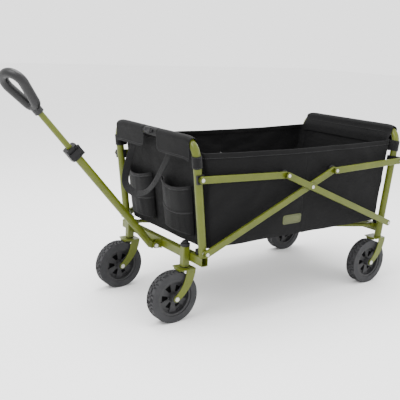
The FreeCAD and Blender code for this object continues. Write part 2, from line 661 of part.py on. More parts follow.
# --- build --------------------------------------------------------------------
def save_front_frame():
    below_bar = block(-HALF_LENGTH - 60, -HALF_LENGTH + 60, -300, 300, BAR_TOP - 60, BAR_TOP)
    save("front_frame_tube", lean_front(end_frame(FRONT_POST_FOOT)).cut(below_bar))
    save("front_crossbar", front_crossbar())
    save("head_tubes", both_sides(head_tube()))
    save("head_tube_bearings", Part.makeCompound(
        head_bearing() + [mirrored(piece) for piece in head_bearing()]))
    save("handle_bracket", handle_bracket())
    save("front_post_clips", both_sides(lean_front(post_clip(INNER_LAYER - 0.3))))
    save("front_post_collars", both_sides(lean_front(post_collar())))
    washer = rod_y(LOWER.x, POST_Y + POST_RADIUS + 0.2, INNER_LAYER - 0.3, LOWER.z, 9.0)
    rivets = [rivet(LOWER, INNER_LAYER - 0.3, OUTER_LAYER - LINK_GAP + 0.2).fuse(washer),
              rivet(POST_JOINT, INNER_LAYER - 0.3, OUTER_LAYER - LINK_GAP + 0.2)]
    bolt = rod_y(HANDLE_PIVOT_X, -20, 20, HANDLE_PIVOT_Z, RIVET_RADIUS + 1)
    heads = [rod_y(HANDLE_PIVOT_X, side * 20, side * 24, HANDLE_PIVOT_Z, 7.5) for side in (-1, 1)]
    save("front_rivets", Part.makeCompound(
        rivets + [mirrored(piece) for piece in rivets] + [bolt.multiFuse(heads)]))


def save_tub():
    save("front_panel", lean_front(end_panel()))
    save("front_flap_left", lean_front(flap(-FLAP_OUTER_Y, -FLAP_INNER_Y, -FLAP_INNER_Y)))
    save("front_flap_right", lean_front(flap(FLAP_INNER_Y, FLAP_OUTER_Y, FLAP_INNER_Y)))
    save("flap_buckle", lean_front(flap_buckle()))
    left_walls = [mirrored(wall) for wall in pocket(*LEFT_POCKET_Y)]
    save("front_pockets", Part.makeCompound(pocket(*RIGHT_POCKET_Y) + left_walls))
    save("front_strap", lean_front(strap()))
    save("side_panel_left", mirrored(side_panel()))
    save("side_panel_right", side_panel())
    save("rear_panel", lean_rear(end_panel()))
    save("rear_flap", lean_rear(flap(-FLAP_OUTER_Y, FLAP_OUTER_Y, 0)))
    save("floor_front", floor_half(0.4))
    save("floor_rear", floor_half(0.4).mirror(V(0, 0, 0), V(1, 0, 0)))


def save_wheels():
    front_x = SWIVEL_X - TRAIL
    rear_x = REAR_FORK_X - TRAIL
    wheels = {"front_left": (front_x, -SWIVEL_Y), "front_right": (front_x, SWIVEL_Y),
              "rear_left": (rear_x, -REAR_WHEEL_Y), "rear_right": (rear_x, REAR_WHEEL_Y)}
    for corner, (x, y) in wheels.items():
        save("tyre_" + corner, at(tyre(), x, y, WHEEL_RADIUS))
        save("hub_" + corner, at(hub(), x, y, WHEEL_RADIUS))
    for corner, y in (("left", -SWIVEL_Y), ("right", SWIVEL_Y)):
        save("fork_front_" + corner, at(fork(HEAD_TUBE_TOP - 1), SWIVEL_X, y))
        save("axle_front_" + corner, at(axle(), SWIVEL_X, y))
    save("rear_forks", both_sides(at(fork(0), REAR_FORK_X, REAR_WHEEL_Y)))
    save("rear_axles", both_sides(at(axle(), REAR_FORK_X, REAR_WHEEL_Y)))


def save_links():
    long_front = link(LOWER, UPPER_JOINT, INNER_LAYER, (0, LONG_TO_CROSS))
    long_rear = link(turned_about(LOWER), turned_about(UPPER_JOINT), OUTER_LAYER, (0, LONG_TO_CROSS))
    upper_front = link(POST_JOINT, turned_about(UPPER_JOINT), INNER_LAYER, (0,))
    upper_rear = link(turned_about(POST_JOINT), UPPER_JOINT, OUTER_LAYER, (0,))
    for name, piece in (("long_link_front", long_front), ("long_link_rear", long_rear),
                        ("upper_link_front", upper_front), ("upper_link_rear", upper_rear)):
        save(name + "_right", piece)
        save(name + "_left", mirrored(piece))
    outer_face = OUTER_LAYER + LINK_THICKNESS
    inner_face = INNER_LAYER + LINK_THICKNESS
    save("scissor_rivets", both_sides(rivet(CROSS, inner_face + 0.1, outer_face + 0.2)))
    save("rear_long_link_rivets", both_sides(rivet_head(turned_about(UPPER_JOINT), outer_face)))
    save("rear_upper_link_rivets", both_sides(rivet_head(UPPER_JOINT, outer_face)))


def save_rear_frame():
    below_crowns = block(HALF_LENGTH - 60, HALF_LENGTH + 60, -300, 300, CROWN_TOP - 60, CROWN_TOP)
    save("rear_frame_tube", lean_rear(end_frame(REAR_POST_FOOT)).cut(below_crowns))
    save("rear_crossbar", rear_crossbar())
    save("rear_post_clips", both_sides(lean_rear(post_clip(OUTER_LAYER - 0.3))))
    save("rear_post_collars", both_sides(lean_rear(post_collar())))
    outer_face = OUTER_LAYER + LINK_THICKNESS
    foot = turned_about(LOWER)
    spacer = rod_y(foot.x, POST_Y + POST_RADIUS + 0.2, OUTER_LAYER - 0.3, foot.z, 8.0)
    rivets = [rivet(foot, OUTER_LAYER - 0.3, outer_face + 0.2).fuse(spacer),
              rivet(turned_about(POST_JOINT), OUTER_LAYER - 0.3, outer_face + 0.2)]
    save("rear_rivets", Part.makeCompound(rivets + [mirrored(piece) for piece in rivets]))


def save_floor_frame():
    save("front_arms", both_sides(folding_arm(FRONT_TIP_Y)))
    save("rear_arms", both_sides(folding_arm(REAR_TIP_Y).mirror(V(0, 0, 0), V(1, 0, 0))))
    save("floor_hub", floor_hub())


def save_handle():
    save("handle_lower_tube", raise_handle(lower_handle()))
    save("handle_clamp", raise_handle(handle_clamp()))
    save("clamp_lever", raise_handle(clamp_lever()))
    save("handle_upper_tube", raise_handle(upper_handle()))
    save("handle_grip", raise_handle(grip()))


save_front_frame()
save_tub()
save_wheels()
save_links()
save_rear_frame()
save_floor_frame()
save_handle()
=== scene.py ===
# %% [markdown]
# # A folding wagon with a pull handle
#
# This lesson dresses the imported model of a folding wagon. The tubes, links,
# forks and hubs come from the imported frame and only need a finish. The cloth
# tub, its flaps, pockets and webbing, and the tyres with their tread, are
# modelled here in the same places.
#
# Everything is in metres. +X points to the rear of the wagon, +Y to its right
# side and +Z up. The floor is z = 0.

# %% Load the wagon's frame
import json
import math

import bmesh
import bpy
from mathutils import Matrix, Vector, noise


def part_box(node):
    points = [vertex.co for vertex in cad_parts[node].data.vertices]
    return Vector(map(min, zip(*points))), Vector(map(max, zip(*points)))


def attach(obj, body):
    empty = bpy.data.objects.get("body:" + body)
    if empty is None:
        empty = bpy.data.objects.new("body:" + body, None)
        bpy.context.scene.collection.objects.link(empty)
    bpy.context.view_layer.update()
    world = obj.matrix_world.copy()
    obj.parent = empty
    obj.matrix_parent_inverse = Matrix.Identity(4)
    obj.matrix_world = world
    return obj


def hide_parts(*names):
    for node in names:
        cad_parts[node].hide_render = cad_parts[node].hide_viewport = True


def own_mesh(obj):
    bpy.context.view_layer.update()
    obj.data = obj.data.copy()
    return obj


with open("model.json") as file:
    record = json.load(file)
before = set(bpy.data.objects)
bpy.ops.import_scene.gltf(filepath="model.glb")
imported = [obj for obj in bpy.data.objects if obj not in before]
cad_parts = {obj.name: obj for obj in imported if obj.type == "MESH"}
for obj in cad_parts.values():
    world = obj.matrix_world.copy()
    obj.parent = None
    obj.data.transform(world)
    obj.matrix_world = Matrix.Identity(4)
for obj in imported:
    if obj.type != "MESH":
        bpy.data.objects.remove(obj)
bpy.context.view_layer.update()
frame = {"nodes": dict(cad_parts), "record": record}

# %% [markdown]
# ## Places that the cloth is built from
#
# The cloth hangs on two leaning end frames. Each frame has a lower pivot, and
# its posts lean outwards by 7 degrees. So a place on the front frame is given
# as three numbers: how far it is inwards from the posts, how far it is to the
# right, and how high it is along the post. One function turns these into a
# place in the wagon. The rear frame is the front one turned about, so the same
# numbers serve both ends.

# %% Measure the frame
MIDDLE = (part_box("front_crossbar")[0][0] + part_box("rear_crossbar")[1][0]) / 2   # between the end frames
HALF_LENGTH = 0.453                                  # lower pivots, from the middle
PIVOT_HEIGHT = 0.257
LEAN = math.radians(7)
POST_Y = 0.260
BAR_HEIGHT = 0.380                                   # top bar, along the post
BEND_RADIUS = 0.056
LINK_INNER_Y = 0.2775
FRONT, REAR = -1, 1
END_NAME = {FRONT: "front", REAR: "rear"}
BODY_OF_END = {FRONT: "front_frame", REAR: "rear_frame"}
HAND = {-1: "left", 1: "right"}
print("middle of the end frames at x = %.4f" % MIDDLE)


def on_frame(end, inwards, y, height):
    """Place on an end frame: inwards from its posts, across, and up along them."""
    x = HALF_LENGTH - inwards * math.cos(LEAN) + height * math.sin(LEAN)
    z = PIVOT_HEIGHT + height * math.cos(LEAN) + inwards * math.sin(LEAN)
    return Vector((MIDDLE + end * x, y, z))


def wall_x(end, z, inwards):
    """X on an end frame at a height above the floor."""
    run = HALF_LENGTH + (z - PIVOT_HEIGHT) * math.tan(LEAN) - inwards / math.cos(LEAN)
    return MIDDLE + end * run


def outward(end):
    """Way out of the wagon, square to an end frame."""
    return Vector((end * math.cos(LEAN), 0, -math.sin(LEAN)))


# %% [markdown]
# ## The camera
#
# The wagon is seen from the front left, a little from above, with a lens
# slightly longer than normal, so its long side and its front both show. The
# camera is built from a place and three angles, because that is how a tripod
# is set: turn, tilt and a trace of roll.

# %% Set up the camera
CAMERA_PLACE = Vector((MIDDLE - 1.6830, -1.9411, 0.9422))
TURN, TILT, ROLL = 0.6263, -0.2351, 0.0444
ahead = Vector((math.sin(TURN) * math.cos(TILT), math.cos(TURN) * math.cos(TILT), math.sin(TILT)))
level_right = ahead.cross(Vector((0, 0, 1))).normalized()
level_up = level_right.cross(ahead)
right = level_right * math.cos(ROLL) + level_up * math.sin(ROLL)
up = level_up * math.cos(ROLL) - level_right * math.sin(ROLL)

camera_data = bpy.data.cameras.new("camera")
camera_data.lens = 58.6
camera_data.sensor_width = 36.0
camera_data.shift_x = -0.0039
camera_data.shift_y = -0.0037
camera = bpy.data.objects.new("camera", camera_data)
bpy.context.scene.collection.objects.link(camera)
camera.matrix_world = Matrix((
    (right.x, up.x, -ahead.x, CAMERA_PLACE.x),
    (right.y, up.y, -ahead.y, CAMERA_PLACE.y),
    (right.z, up.z, -ahead.z, CAMERA_PLACE.z),
    (0, 0, 0, 1)))
bpy.context.scene.camera = camera
print("camera", camera.matrix_world.translation)

# %% [markdown]
# ## The studio
#
# A pale floor that runs far back and a white surround give a clean shop look.
# A lamp above the front end and a broad one over the tub light the painted
# tubes and draw the soft shadow under the wagon. A third, weaker one stands
# beside the wagon, so that the black cloth on that side doesn't close up.

# %% Build the floor and the lamps
bpy.ops.object.select_all(action="DESELECT")
bpy.ops.mesh.primitive_plane_add(size=40, location=(0, 0, 0))
floor = bpy.context.active_object
floor.name = "studio_floor"
floor_paint = bpy.data.materials.new("pale_floor")
floor_paint.use_nodes = True
floor_shader = floor_paint.node_tree.nodes["Principled BSDF"]
floor_shader.inputs["Base Color"].default_value = (0.93, 0.93, 0.93, 1)
floor_shader.inputs["Roughness"].default_value = 0.9
floor_shader.inputs["Specular IOR Level"].default_value = 0.1
floor.data.materials.append(floor_paint)

surround = bpy.data.worlds.new("white_surround")
surround.use_nodes = True
surround.node_tree.nodes["Background"].inputs["Color"].default_value = (1, 1, 1, 1)
surround.node_tree.nodes["Background"].inputs["Strength"].default_value = 2.15
bpy.context.scene.world = surround


def softbox(name, place, target, size, power):
    """Square lamp that faces a target."""
    data = bpy.data.lights.new(name, "AREA")
    data.shape = "SQUARE"
    data.size = size
    data.energy = power
    lamp = bpy.data.objects.new(name, data)
    lamp.location = place
    lamp.rotation_euler = (Vector(target) - Vector(place)).to_track_quat("-Z", "Y").to_euler()
    bpy.context.scene.collection.objects.link(lamp)


softbox("key_lamp", (-1.9, -0.5, 2.5), (0.1, 0, 0.3), 1.2, 46)
softbox("top_lamp", (0.2, 0.4, 2.8), (0.3, 0, 0.2), 1.8, 100)
softbox("side_lamp", (1.6, -2.6, 1.6), (0.2, 0, 0.4), 1.2, 15)

# %% [markdown]
# ## Finishes
#
# Each finish is a small node tree. A pattern at the real scale feeds the colour,
# the roughness and the bump, so no surface is one flat colour. Hard parts read
# Object coordinates, which are metres here. Cloth reads its own UV map, which
# is laid out in metres as well, so the weave follows the cloth.


# %% Helpers for finishes
def start_finish(name, roughness, specular=0.5):
    """New material, its nodes, its links and its shader."""
    material = bpy.data.materials.new(name)
    material.use_nodes = True
    tree = material.node_tree
    shader = tree.nodes["Principled BSDF"]
    shader.inputs["Roughness"].default_value = roughness
    shader.inputs["Specular IOR Level"].default_value = specular
    return material, tree, shader


def coordinates(tree, kind, scale=(1, 1, 1), turn=(0, 0, 0)):
    """Texture coordinates through a mapping node."""
    source = tree.nodes.new("ShaderNodeTexCoord")
    mapping = tree.nodes.new("ShaderNodeMapping")
    mapping.inputs["Scale"].default_value = scale
    mapping.inputs["Rotation"].default_value = turn
    tree.links.new(source.outputs[kind], mapping.inputs["Vector"])
    return mapping.outputs["Vector"]


def cloud(tree, where, scale, detail=4.0, rough=0.55):
    """Noise texture."""
    node = tree.nodes.new("ShaderNodeTexNoise")
    node.inputs["Scale"].default_value = scale
    node.inputs["Detail"].default_value = detail
    node.inputs["Roughness"].default_value = rough
    tree.links.new(where, node.inputs["Vector"])
    return node.outputs["Fac"]


def bands(tree, where, direction, period, wobble=0.0):
    """Sine bands that repeat at a period in metres."""
    node = tree.nodes.new("ShaderNodeTexWave")
    node.bands_direction = direction
    node.inputs["Scale"].default_value = math.pi / 10 / period
    node.inputs["Distortion"].default_value = wobble
    tree.links.new(where, node.inputs["Vector"])
    return node.outputs["Fac"]


def ramp(tree, value, stops):
    """Colours along a value."""
    node = tree.nodes.new("ShaderNodeValToRGB")
    while len(node.color_ramp.elements) < len(stops):
        node.color_ramp.elements.new(0.5)
    for element, (place, colour) in zip(node.color_ramp.elements, stops):
        element.position = place
        element.color = (*colour, 1)
    tree.links.new(value, node.inputs["Fac"])
    return node.outputs["Color"]


def spread(tree, value, low, high):
    """A value from 0 to 1 stretched between two numbers."""
    node = tree.nodes.new("ShaderNodeMapRange")
    node.inputs["To Min"].default_value = low
    node.inputs["To Max"].default_value = high
    tree.links.new(value, node.inputs["Value"])
    return node.outputs["Result"]


def product(tree, first, second):
    """Two values multiplied."""
    node = tree.nodes.new("ShaderNodeMath")
    node.operation = "MULTIPLY"
    tree.links.new(first, node.inputs[0])
    tree.links.new(second, node.inputs[1])
    return node.outputs["Value"]


def tinted(tree, first, second):
    """Two colours multiplied."""
    node = tree.nodes.new("ShaderNodeMix")
    node.data_type = "RGBA"
    node.blend_type = "MULTIPLY"
    node.inputs[0].default_value = 1.0
    tree.links.new(first, node.inputs[6])
    tree.links.new(second, node.inputs[7])
    return node.outputs[2]


def bump(tree, height, distance, strength, below=None):
    """Raises a surface by a height in metres."""
    node = tree.nodes.new("ShaderNodeBump")
    node.inputs["Distance"].default_value = distance
    node.inputs["Strength"].default_value = strength
    tree.links.new(height, node.inputs["Height"])
    if below is not None:
        tree.links.new(below, node.inputs["Normal"])
    return node.outputs["Normal"]


def connect(tree, shader, colour, normal, roughness=None):
    """Joins a finish's colour, bump and roughness to its shader."""
    tree.links.new(colour, shader.inputs["Base Color"])
    tree.links.new(normal, shader.inputs["Normal"])
    if roughness is not None:
        tree.links.new(roughness, shader.inputs["Roughness"])


print("helpers ready")


# %% [markdown]
# ### Olive paint
#
# The tubes are powder-coated. Such paint has a faint orange-peel skin under a
# thin clear coat, and it is a little duller and dustier here and there. A fine
# noise gives the skin, a broad one shifts the colour and the roughness.

# %% Olive paint
def olive_paint():
    material, tree, shader = start_finish("olive_paint", 0.32, 0.22)
    shader.inputs["Coat Weight"].default_value = 0.12
    shader.inputs["Coat Roughness"].default_value = 0.16
    where = coordinates(tree, "Object")
    broad = cloud(tree, where, 14)
    dust = cloud(tree, where, 120, 6.0, 0.7)
    tint = ramp(tree, broad, [(0.3, (0.060, 0.074, 0.0045)), (0.7, (0.080, 0.096, 0.0065))])
    specks = ramp(tree, dust, [(0.30, (0.80, 0.80, 0.78)), (0.46, (1, 1, 1))])
    peel = cloud(tree, where, 900, 2.0)
    connect(tree, shader, tinted(tree, tint, specks), bump(tree, peel, 0.0002, 0.35),
            spread(tree, broad, 0.25, 0.42))
    return material


PAINT = olive_paint()
print(PAINT.name)


# %% [markdown]
# ### Woven polyester
#
# The tub is of a tight plain weave. Warp and weft are two sets of bands at
# right angles on the cloth's own UV map, under a millimetre apart. Broad noise
# stands for creases from folding, which catch the light on black cloth.

# %% Woven cloth
def woven_cloth(name, dark, light, period, crease):
    material, tree, shader = start_finish(name, 0.7, 0.11)
    shader.inputs["Sheen Weight"].default_value = 0.03
    shader.inputs["Sheen Roughness"].default_value = 0.45
    where = coordinates(tree, "UV")
    warp = bands(tree, where, "X", period)
    weft = bands(tree, where, "Y", period)
    weave = product(tree, warp, weft)
    worn = cloud(tree, where, 9, 6.0, 0.6)
    thread = ramp(tree, weave, [(0.0, dark), (1.0, light)])
    shade = ramp(tree, worn, [(0.30, (0.78, 0.78, 0.80)), (0.72, (1, 1, 1))])
    long_way = coordinates(tree, "UV", (0.8, 1.6, 1), (0, 0, 0.5))
    creases = cloud(tree, long_way, 9, 5.0, 0.6)
    folded = bump(tree, creases, crease, 0.8)
    connect(tree, shader, tinted(tree, thread, shade), bump(tree, weave, 0.0003, 0.45, folded),
            spread(tree, worn, 0.58, 0.80))
    return material


TUB_CLOTH = woven_cloth("black_tub_cloth", (0.0018, 0.0018, 0.0020), (0.0050, 0.0050, 0.0053),
                        0.0009, 0.008)
FLAP_CLOTH = woven_cloth("black_flap_cloth", (0.0014, 0.0014, 0.0016), (0.0038, 0.0038, 0.0041),
                         0.0010, 0.004)
print(TUB_CLOTH.name, FLAP_CLOTH.name)


# %% [markdown]
# ### Webbing, mesh and thread
#
# Webbing has bold ribs across it. Pocket mesh is a net of small round holes,
# drawn with cells whose edges are the threads. The holes are only a darker
# colour, as dark as what is behind them. Thread is a plain twisted yarn.

# %% Webbing, mesh and thread
def ribbed_webbing():
    material, tree, shader = start_finish("black_webbing", 0.65, 0.14)
    shader.inputs["Sheen Weight"].default_value = 0.06
    where = coordinates(tree, "UV")
    ribs = bands(tree, where, "X", 0.0022, 0.4)
    yarn = bands(tree, where, "Y", 0.0011)
    both = product(tree, ribs, yarn)
    colour = ramp(tree, both, [(0.0, (0.0018, 0.0018, 0.0021)), (1.0, (0.0062, 0.0062, 0.0067))])
    connect(tree, shader, colour, bump(tree, both, 0.0006, 0.7))
    return material


def pocket_net():
    material, tree, shader = start_finish("black_pocket_net", 0.72, 0.1)
    shader.inputs["Sheen Weight"].default_value = 0.06
    where = coordinates(tree, "UV")
    cells = tree.nodes.new("ShaderNodeTexVoronoi")
    cells.inputs["Scale"].default_value = 330
    cells.inputs["Randomness"].default_value = 0.15
    tree.links.new(where, cells.inputs["Vector"])
    holes = cells.outputs["Distance"]
    colour = ramp(tree, holes, [(0.36, (0.0006, 0.0006, 0.0008)), (0.55, (0.0050, 0.0050, 0.0054))])
    connect(tree, shader, colour, bump(tree, holes, 0.0010, 0.7))
    return material


def sewing_thread():
    material, tree, shader = start_finish("black_thread", 0.55, 0.5)
    where = coordinates(tree, "Object")
    twist = bands(tree, where, "DIAGONAL", 0.0008)
    colour = ramp(tree, twist, [(0.0, (0.006, 0.006, 0.007)), (1.0, (0.020, 0.020, 0.022))])
    connect(tree, shader, colour, bump(tree, twist, 0.0002, 0.5))
    return material


WEBBING = ribbed_webbing()
NET = pocket_net()
THREAD = sewing_thread()
print(WEBBING.name, NET.name, THREAD.name)


# %% [markdown]
# ### Plastics, foam and steel
#
# Moulded nylon has a fine spark-eroded grain, and the grip is a little
# smoother. Tyre foam is matt with pores and scuffs from the road. Rivets are
# zinc with fine marks.

# %% Plastics, foam and steel
def moulded(name, dark, light, rough_low, rough_high, grain, specular=0.35):
    material, tree, shader = start_finish(name, rough_low, specular)
    where = coordinates(tree, "Object")
    pores = cloud(tree, where, grain, 3.0)
    scuffs = cloud(tree, where, 26, 6.0, 0.65)
    colour = ramp(tree, scuffs, [(0.3, dark), (0.75, light)])
    connect(tree, shader, colour, bump(tree, pores, 0.0003, 0.4), spread(tree, scuffs, rough_low, rough_high))
    return material


def zinc():
    material, tree, shader = start_finish("zinc_steel", 0.3)
    shader.inputs["Metallic"].default_value = 1.0
    where = coordinates(tree, "Object")
    marks = cloud(tree, where, 420, 3.0)
    colour = ramp(tree, marks, [(0.2, (0.34, 0.34, 0.32)), (0.8, (0.56, 0.56, 0.54))])
    connect(tree, shader, colour, bump(tree, marks, 0.0001, 0.4), spread(tree, marks, 0.22, 0.42))
    return material


BLACK_NYLON = moulded("black_nylon", (0.0035, 0.0035, 0.0040), (0.0085, 0.0085, 0.0090), 0.42, 0.58, 900,
                      0.2)
GRIP_RUBBER = moulded("charcoal_grip", (0.0038, 0.0038, 0.0042), (0.0075, 0.0075, 0.0080), 0.36, 0.5, 700)
HUB_NYLON = moulded("hub_nylon", (0.012, 0.012, 0.013), (0.026, 0.026, 0.0275), 0.5, 0.66, 800)
TYRE_FOAM = moulded("tyre_foam", (0.014, 0.014, 0.0155), (0.032, 0.032, 0.034), 0.72, 0.9, 420)
# The hub webs get this near-black colour as painted shade: the deep shade between the spokes, darker than the
# hub's own plastic.
WEB_PAINTED_SHADE = moulded("web_painted_shade", (0.0010, 0.0010, 0.0011), (0.0022, 0.0022, 0.0023), 0.7, 0.9, 600,
                    0.04)
ZINC = zinc()
print(BLACK_NYLON.name, GRIP_RUBBER.name, HUB_NYLON.name, TYRE_FOAM.name, ZINC.name)

# %% [markdown]
# ## Finish the parts that stay as they are
#
# Tubes, links, forks, brackets and rivets already have their true shape, so
# they keep it. Each one gets the finish of its own slot.

# %% Paint the frame's own parts
FINISH_OF_SLOT = {
    "frame_paint": PAINT, "tub_fabric": TUB_CLOTH, "flap_fabric": FLAP_CLOTH,
    "pocket_fabric": NET, "webbing": WEBBING, "black_plastic": BLACK_NYLON,
    "grip_plastic": GRIP_RUBBER, "tyre_foam": TYRE_FOAM, "hub_plastic": HUB_NYLON,
    "rivet_steel": ZINC}
for part in frame["record"]["subparts"]:
    node = frame["nodes"][part["node"]]
    node.data.materials.clear()
    node.data.materials.append(FINISH_OF_SLOT[part["material_slot"]])


# %% [markdown]
# ## Tools for cloth
#
# A sheet starts as a flat grid, as on a cutting table. Each of its points has
# two numbers from 0 to 1, across and up, and a function says where that point
# hangs on the wagon. The UV map is laid out in metres at the same time. Then a
# modifier gives the sheet its thickness, and another one smooths it.

# %% Tools for cloth
def select_only(piece):
    bpy.ops.object.select_all(action="DESELECT")
    piece.select_set(True)
    bpy.context.view_layer.objects.active = piece


def hang_grid(name, columns, rows, width, length, place):
    """Grid whose points hang where a function of (across, up) says."""
    bpy.ops.object.select_all(action="DESELECT")
    bpy.ops.mesh.primitive_grid_add(x_subdivisions=columns, y_subdivisions=rows, size=1)
    sheet = bpy.context.active_object
    sheet.name = name
    sheet.data.name = name
    cut = {}
    for point in sheet.data.vertices:
        cut[point.index] = (point.co.x + 0.5, point.co.y + 0.5)
        point.co = place(*cut[point.index])
    layer = sheet.data.uv_layers.active.data
    for loop in sheet.data.loops:
        across, rise = cut[loop.vertex_index]
        layer[loop.index].uv = (across * width, rise * length)
    return sheet


def apply_modifier(piece, kind, **settings):
    """Adds a modifier, sets it and applies it."""
    select_only(piece)
    modifier = piece.modifiers.new(kind.lower(), kind)
    for key, value in settings.items():
        setattr(modifier, key, value)
    bpy.ops.object.modifier_apply(modifier=modifier.name)


def thicken(sheet, thickness, levels=1):
    """Gives a sheet its thickness and smooths it."""
    apply_modifier(sheet, "SOLIDIFY", thickness=thickness, offset=0.0, use_even_offset=True)
    if levels:
        apply_modifier(sheet, "SUBSURF", levels=levels, render_levels=levels)


def finish_piece(piece, finish, body, slot, angle=40):
    """Finish, shading and body of a new piece; its slot argument is not used."""
    select_only(piece)
    bpy.ops.object.transform_apply(location=True, rotation=True, scale=True)
    piece.data.materials.clear()
    piece.data.materials.append(finish)
    bpy.ops.object.shade_smooth_by_angle(angle=math.radians(angle))
    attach(piece, body)
    return piece


def ease(value):
    """Smooth step from 0 to 1."""
    value = min(1.0, max(0.0, value))
    return value * value * (3 - 2 * value)


def cloth_area(sheet):
    """Half of a thickened sheet's surface: the area of the cloth."""
    return sum(face.area for face in sheet.data.polygons) / 2


def steps(first, last, count):
    """Evenly spaced values from first to last, with both ends."""
    return [first + (last - first) * step / count for step in range(count + 1)]


print("cloth tools ready")


# %% [markdown]
# ## Tools for moulded pieces
#
# A moulded piece starts as a block or as a cylinder that lies across the wagon.
# A block's edges are rounded by a bevel, and a flat face of either can be inset
# and pressed in. The finished piece is then stood where it belongs.

# %% Tools for moulded pieces
def primitive(name, add, **settings):
    """New primitive of a size, centred on the origin."""
    bpy.ops.object.select_all(action="DESELECT")
    add(**settings)
    piece = bpy.context.active_object
    piece.name = name
    piece.data.name = name
    bpy.ops.object.transform_apply(location=False, rotation=True, scale=True)
    return piece


def block(name, size, soften, segments=3):
    """Block with rounded edges."""
    piece = primitive(name, bpy.ops.mesh.primitive_cube_add, size=1, scale=size)
    bpy.ops.object.mode_set(mode="EDIT")
    bpy.ops.mesh.select_all(action="SELECT")
    bpy.ops.mesh.bevel(offset=soften, segments=segments)
    bpy.ops.object.mode_set(mode="OBJECT")
    return piece


def cylinder(name, sides, radius, width):
    """Cylinder across the wagon."""
    return primitive(name, bpy.ops.mesh.primitive_cylinder_add, vertices=sides, radius=radius, depth=width,
                     rotation=(math.pi / 2, 0, 0))


def recess(piece, way, inset, depth):
    """Insets the largest face that looks one way and presses it in."""
    select_only(piece)
    bpy.ops.object.mode_set(mode="EDIT")
    bpy.ops.mesh.select_all(action="DESELECT")
    bpy.ops.object.mode_set(mode="OBJECT")
    facing = [face for face in piece.data.polygons if face.normal.dot(Vector(way)) > 0.99]
    max(facing, key=lambda face: face.area).select = True
    bpy.ops.object.mode_set(mode="EDIT")
    bpy.ops.mesh.inset(thickness=inset, depth=-depth)
    bpy.ops.object.mode_set(mode="OBJECT")


print("moulding tools ready")


# %% [markdown]
# ### Stitches
#
# A row of stitches is one small bead, copied along a line. The bead is a short
# bar with its edges taken off. All beads of a seam are one mesh, so a seam is
# one piece.

# %% Stitches
STITCH_LENGTH = 0.0042
STITCH_WIDTH = 0.0011
STITCH_GAP = 0.0066


def sew(name, lines, body, slot="flap_fabric"):
    """Rows of stitches along lines; each line is a list of (place, outward way)."""
    bead = block("stitch", (STITCH_LENGTH, STITCH_WIDTH, STITCH_WIDTH), STITCH_WIDTH * 0.35, 1)
    seam = bmesh.new()
    count = 0
    for line in lines:
        travelled = STITCH_GAP / 2
        for (start, out), (end, _) in zip(line, line[1:]):
            run = (end - start).length
            while travelled < run:
                along = (end - start).normalized()
                side = out.cross(along).normalized()
                lift = along.cross(side)
                place = start + along * travelled
                turn = Matrix((along, side, lift)).transposed().to_4x4()
                copied = bead.data.copy()
                copied.transform(Matrix.Translation(place) @ turn)
                seam.from_mesh(copied)
                bpy.data.meshes.remove(copied)
                travelled += STITCH_GAP
                count += 1
            travelled -= run
    mesh = bpy.data.meshes.new(name)
    seam.to_mesh(mesh)
    seam.free()
    bpy.data.objects.remove(bead)
    piece = bpy.data.objects.new(name, mesh)
    bpy.context.scene.collection.objects.link(piece)
    finish_piece(piece, THREAD, body, slot)
    print(name, count, "stitches")
    return piece


print("stitch every %.1f mm" % (STITCH_GAP * 1000))

# %% [markdown]
# ## The tub
#
# The tub is a bag of black cloth that hangs between the two end frames. Five
# flat plates would look like a box. The real bag is one wall that runs round
# soft corners, sags a little along its rim and creases where it has been
# folded. It is cut here into a front and a rear shell that just overlap in the
# middle, because each shell hangs on its own end frame and has to close up towards it
# as the wagon folds. Both shells read one crease function of the place in the
# wagon, so the cloth runs on from one to the other without a step.

# %% Shape of the tub
SIDE_Y = 0.2542                # middle of the side cloth
WALL_INWARDS = 0.0174          # middle of the end cloth, inwards from the posts
CORNER_RADIUS = 0.028
RIM_HEIGHT = 0.5915
TUB_LOW = 0.2635
WALL_TOP = 0.620
CLOTH = 0.0016
SHELL_OVERLAP = 0.0018         # each shell runs this far past the middle
SHELL_SIDE, SHELL_CORNER, SHELL_WALL = 34, 6, 40
SHELL_COLUMNS = 2 * SHELL_SIDE + 2 * SHELL_CORNER + SHELL_WALL
SHELL_ROWS = 26


def creases(place):
    """How far the cloth stands out at a place, in metres."""
    x, y, z = place.x - MIDDLE, place.y, place.z
    slope = 0.55 if x * y > 0 else -0.55
    across = x * math.cos(slope) + z * math.sin(slope)
    along = z * math.cos(slope) - x * math.sin(slope)
    broad = noise.noise(Vector((x * 3.1 + 5, y * 4.0, z * 4.2)))
    pulled = noise.noise(Vector((across * 6.0, along * 21.0, y * 5.0 + 3)))
    ridge = 1 - abs(noise.noise(Vector((along * 9.0 + 1, across * 4.0, y * 3.0))))
    near_edge = ease((RIM_HEIGHT + 0.01 - z) / 0.05) * ease((z - TUB_LOW + 0.012) / 0.05)
    belly = 0.0030 * near_edge
    return belly + near_edge * (0.0040 * broad + 0.0036 * pulled + 0.0034 * (ridge ** 6))


def rim_at(x, y):
    """Height of the rim: level on the sides, sagging, and higher at the end walls."""
    run = min(1.0, abs(x - MIDDLE) / 0.46)
    side = RIM_HEIGHT - 0.007 * (1 - run * run) + 0.0012 * noise.noise(Vector((x * 9, y, 0)))
    rise = ease((SIDE_Y - abs(y)) / 0.045)
    return side + (WALL_TOP - side) * rise


def low_at(x, y):
    return TUB_LOW + 0.0028 * noise.noise(Vector((x * 8, y * 8, 2)))


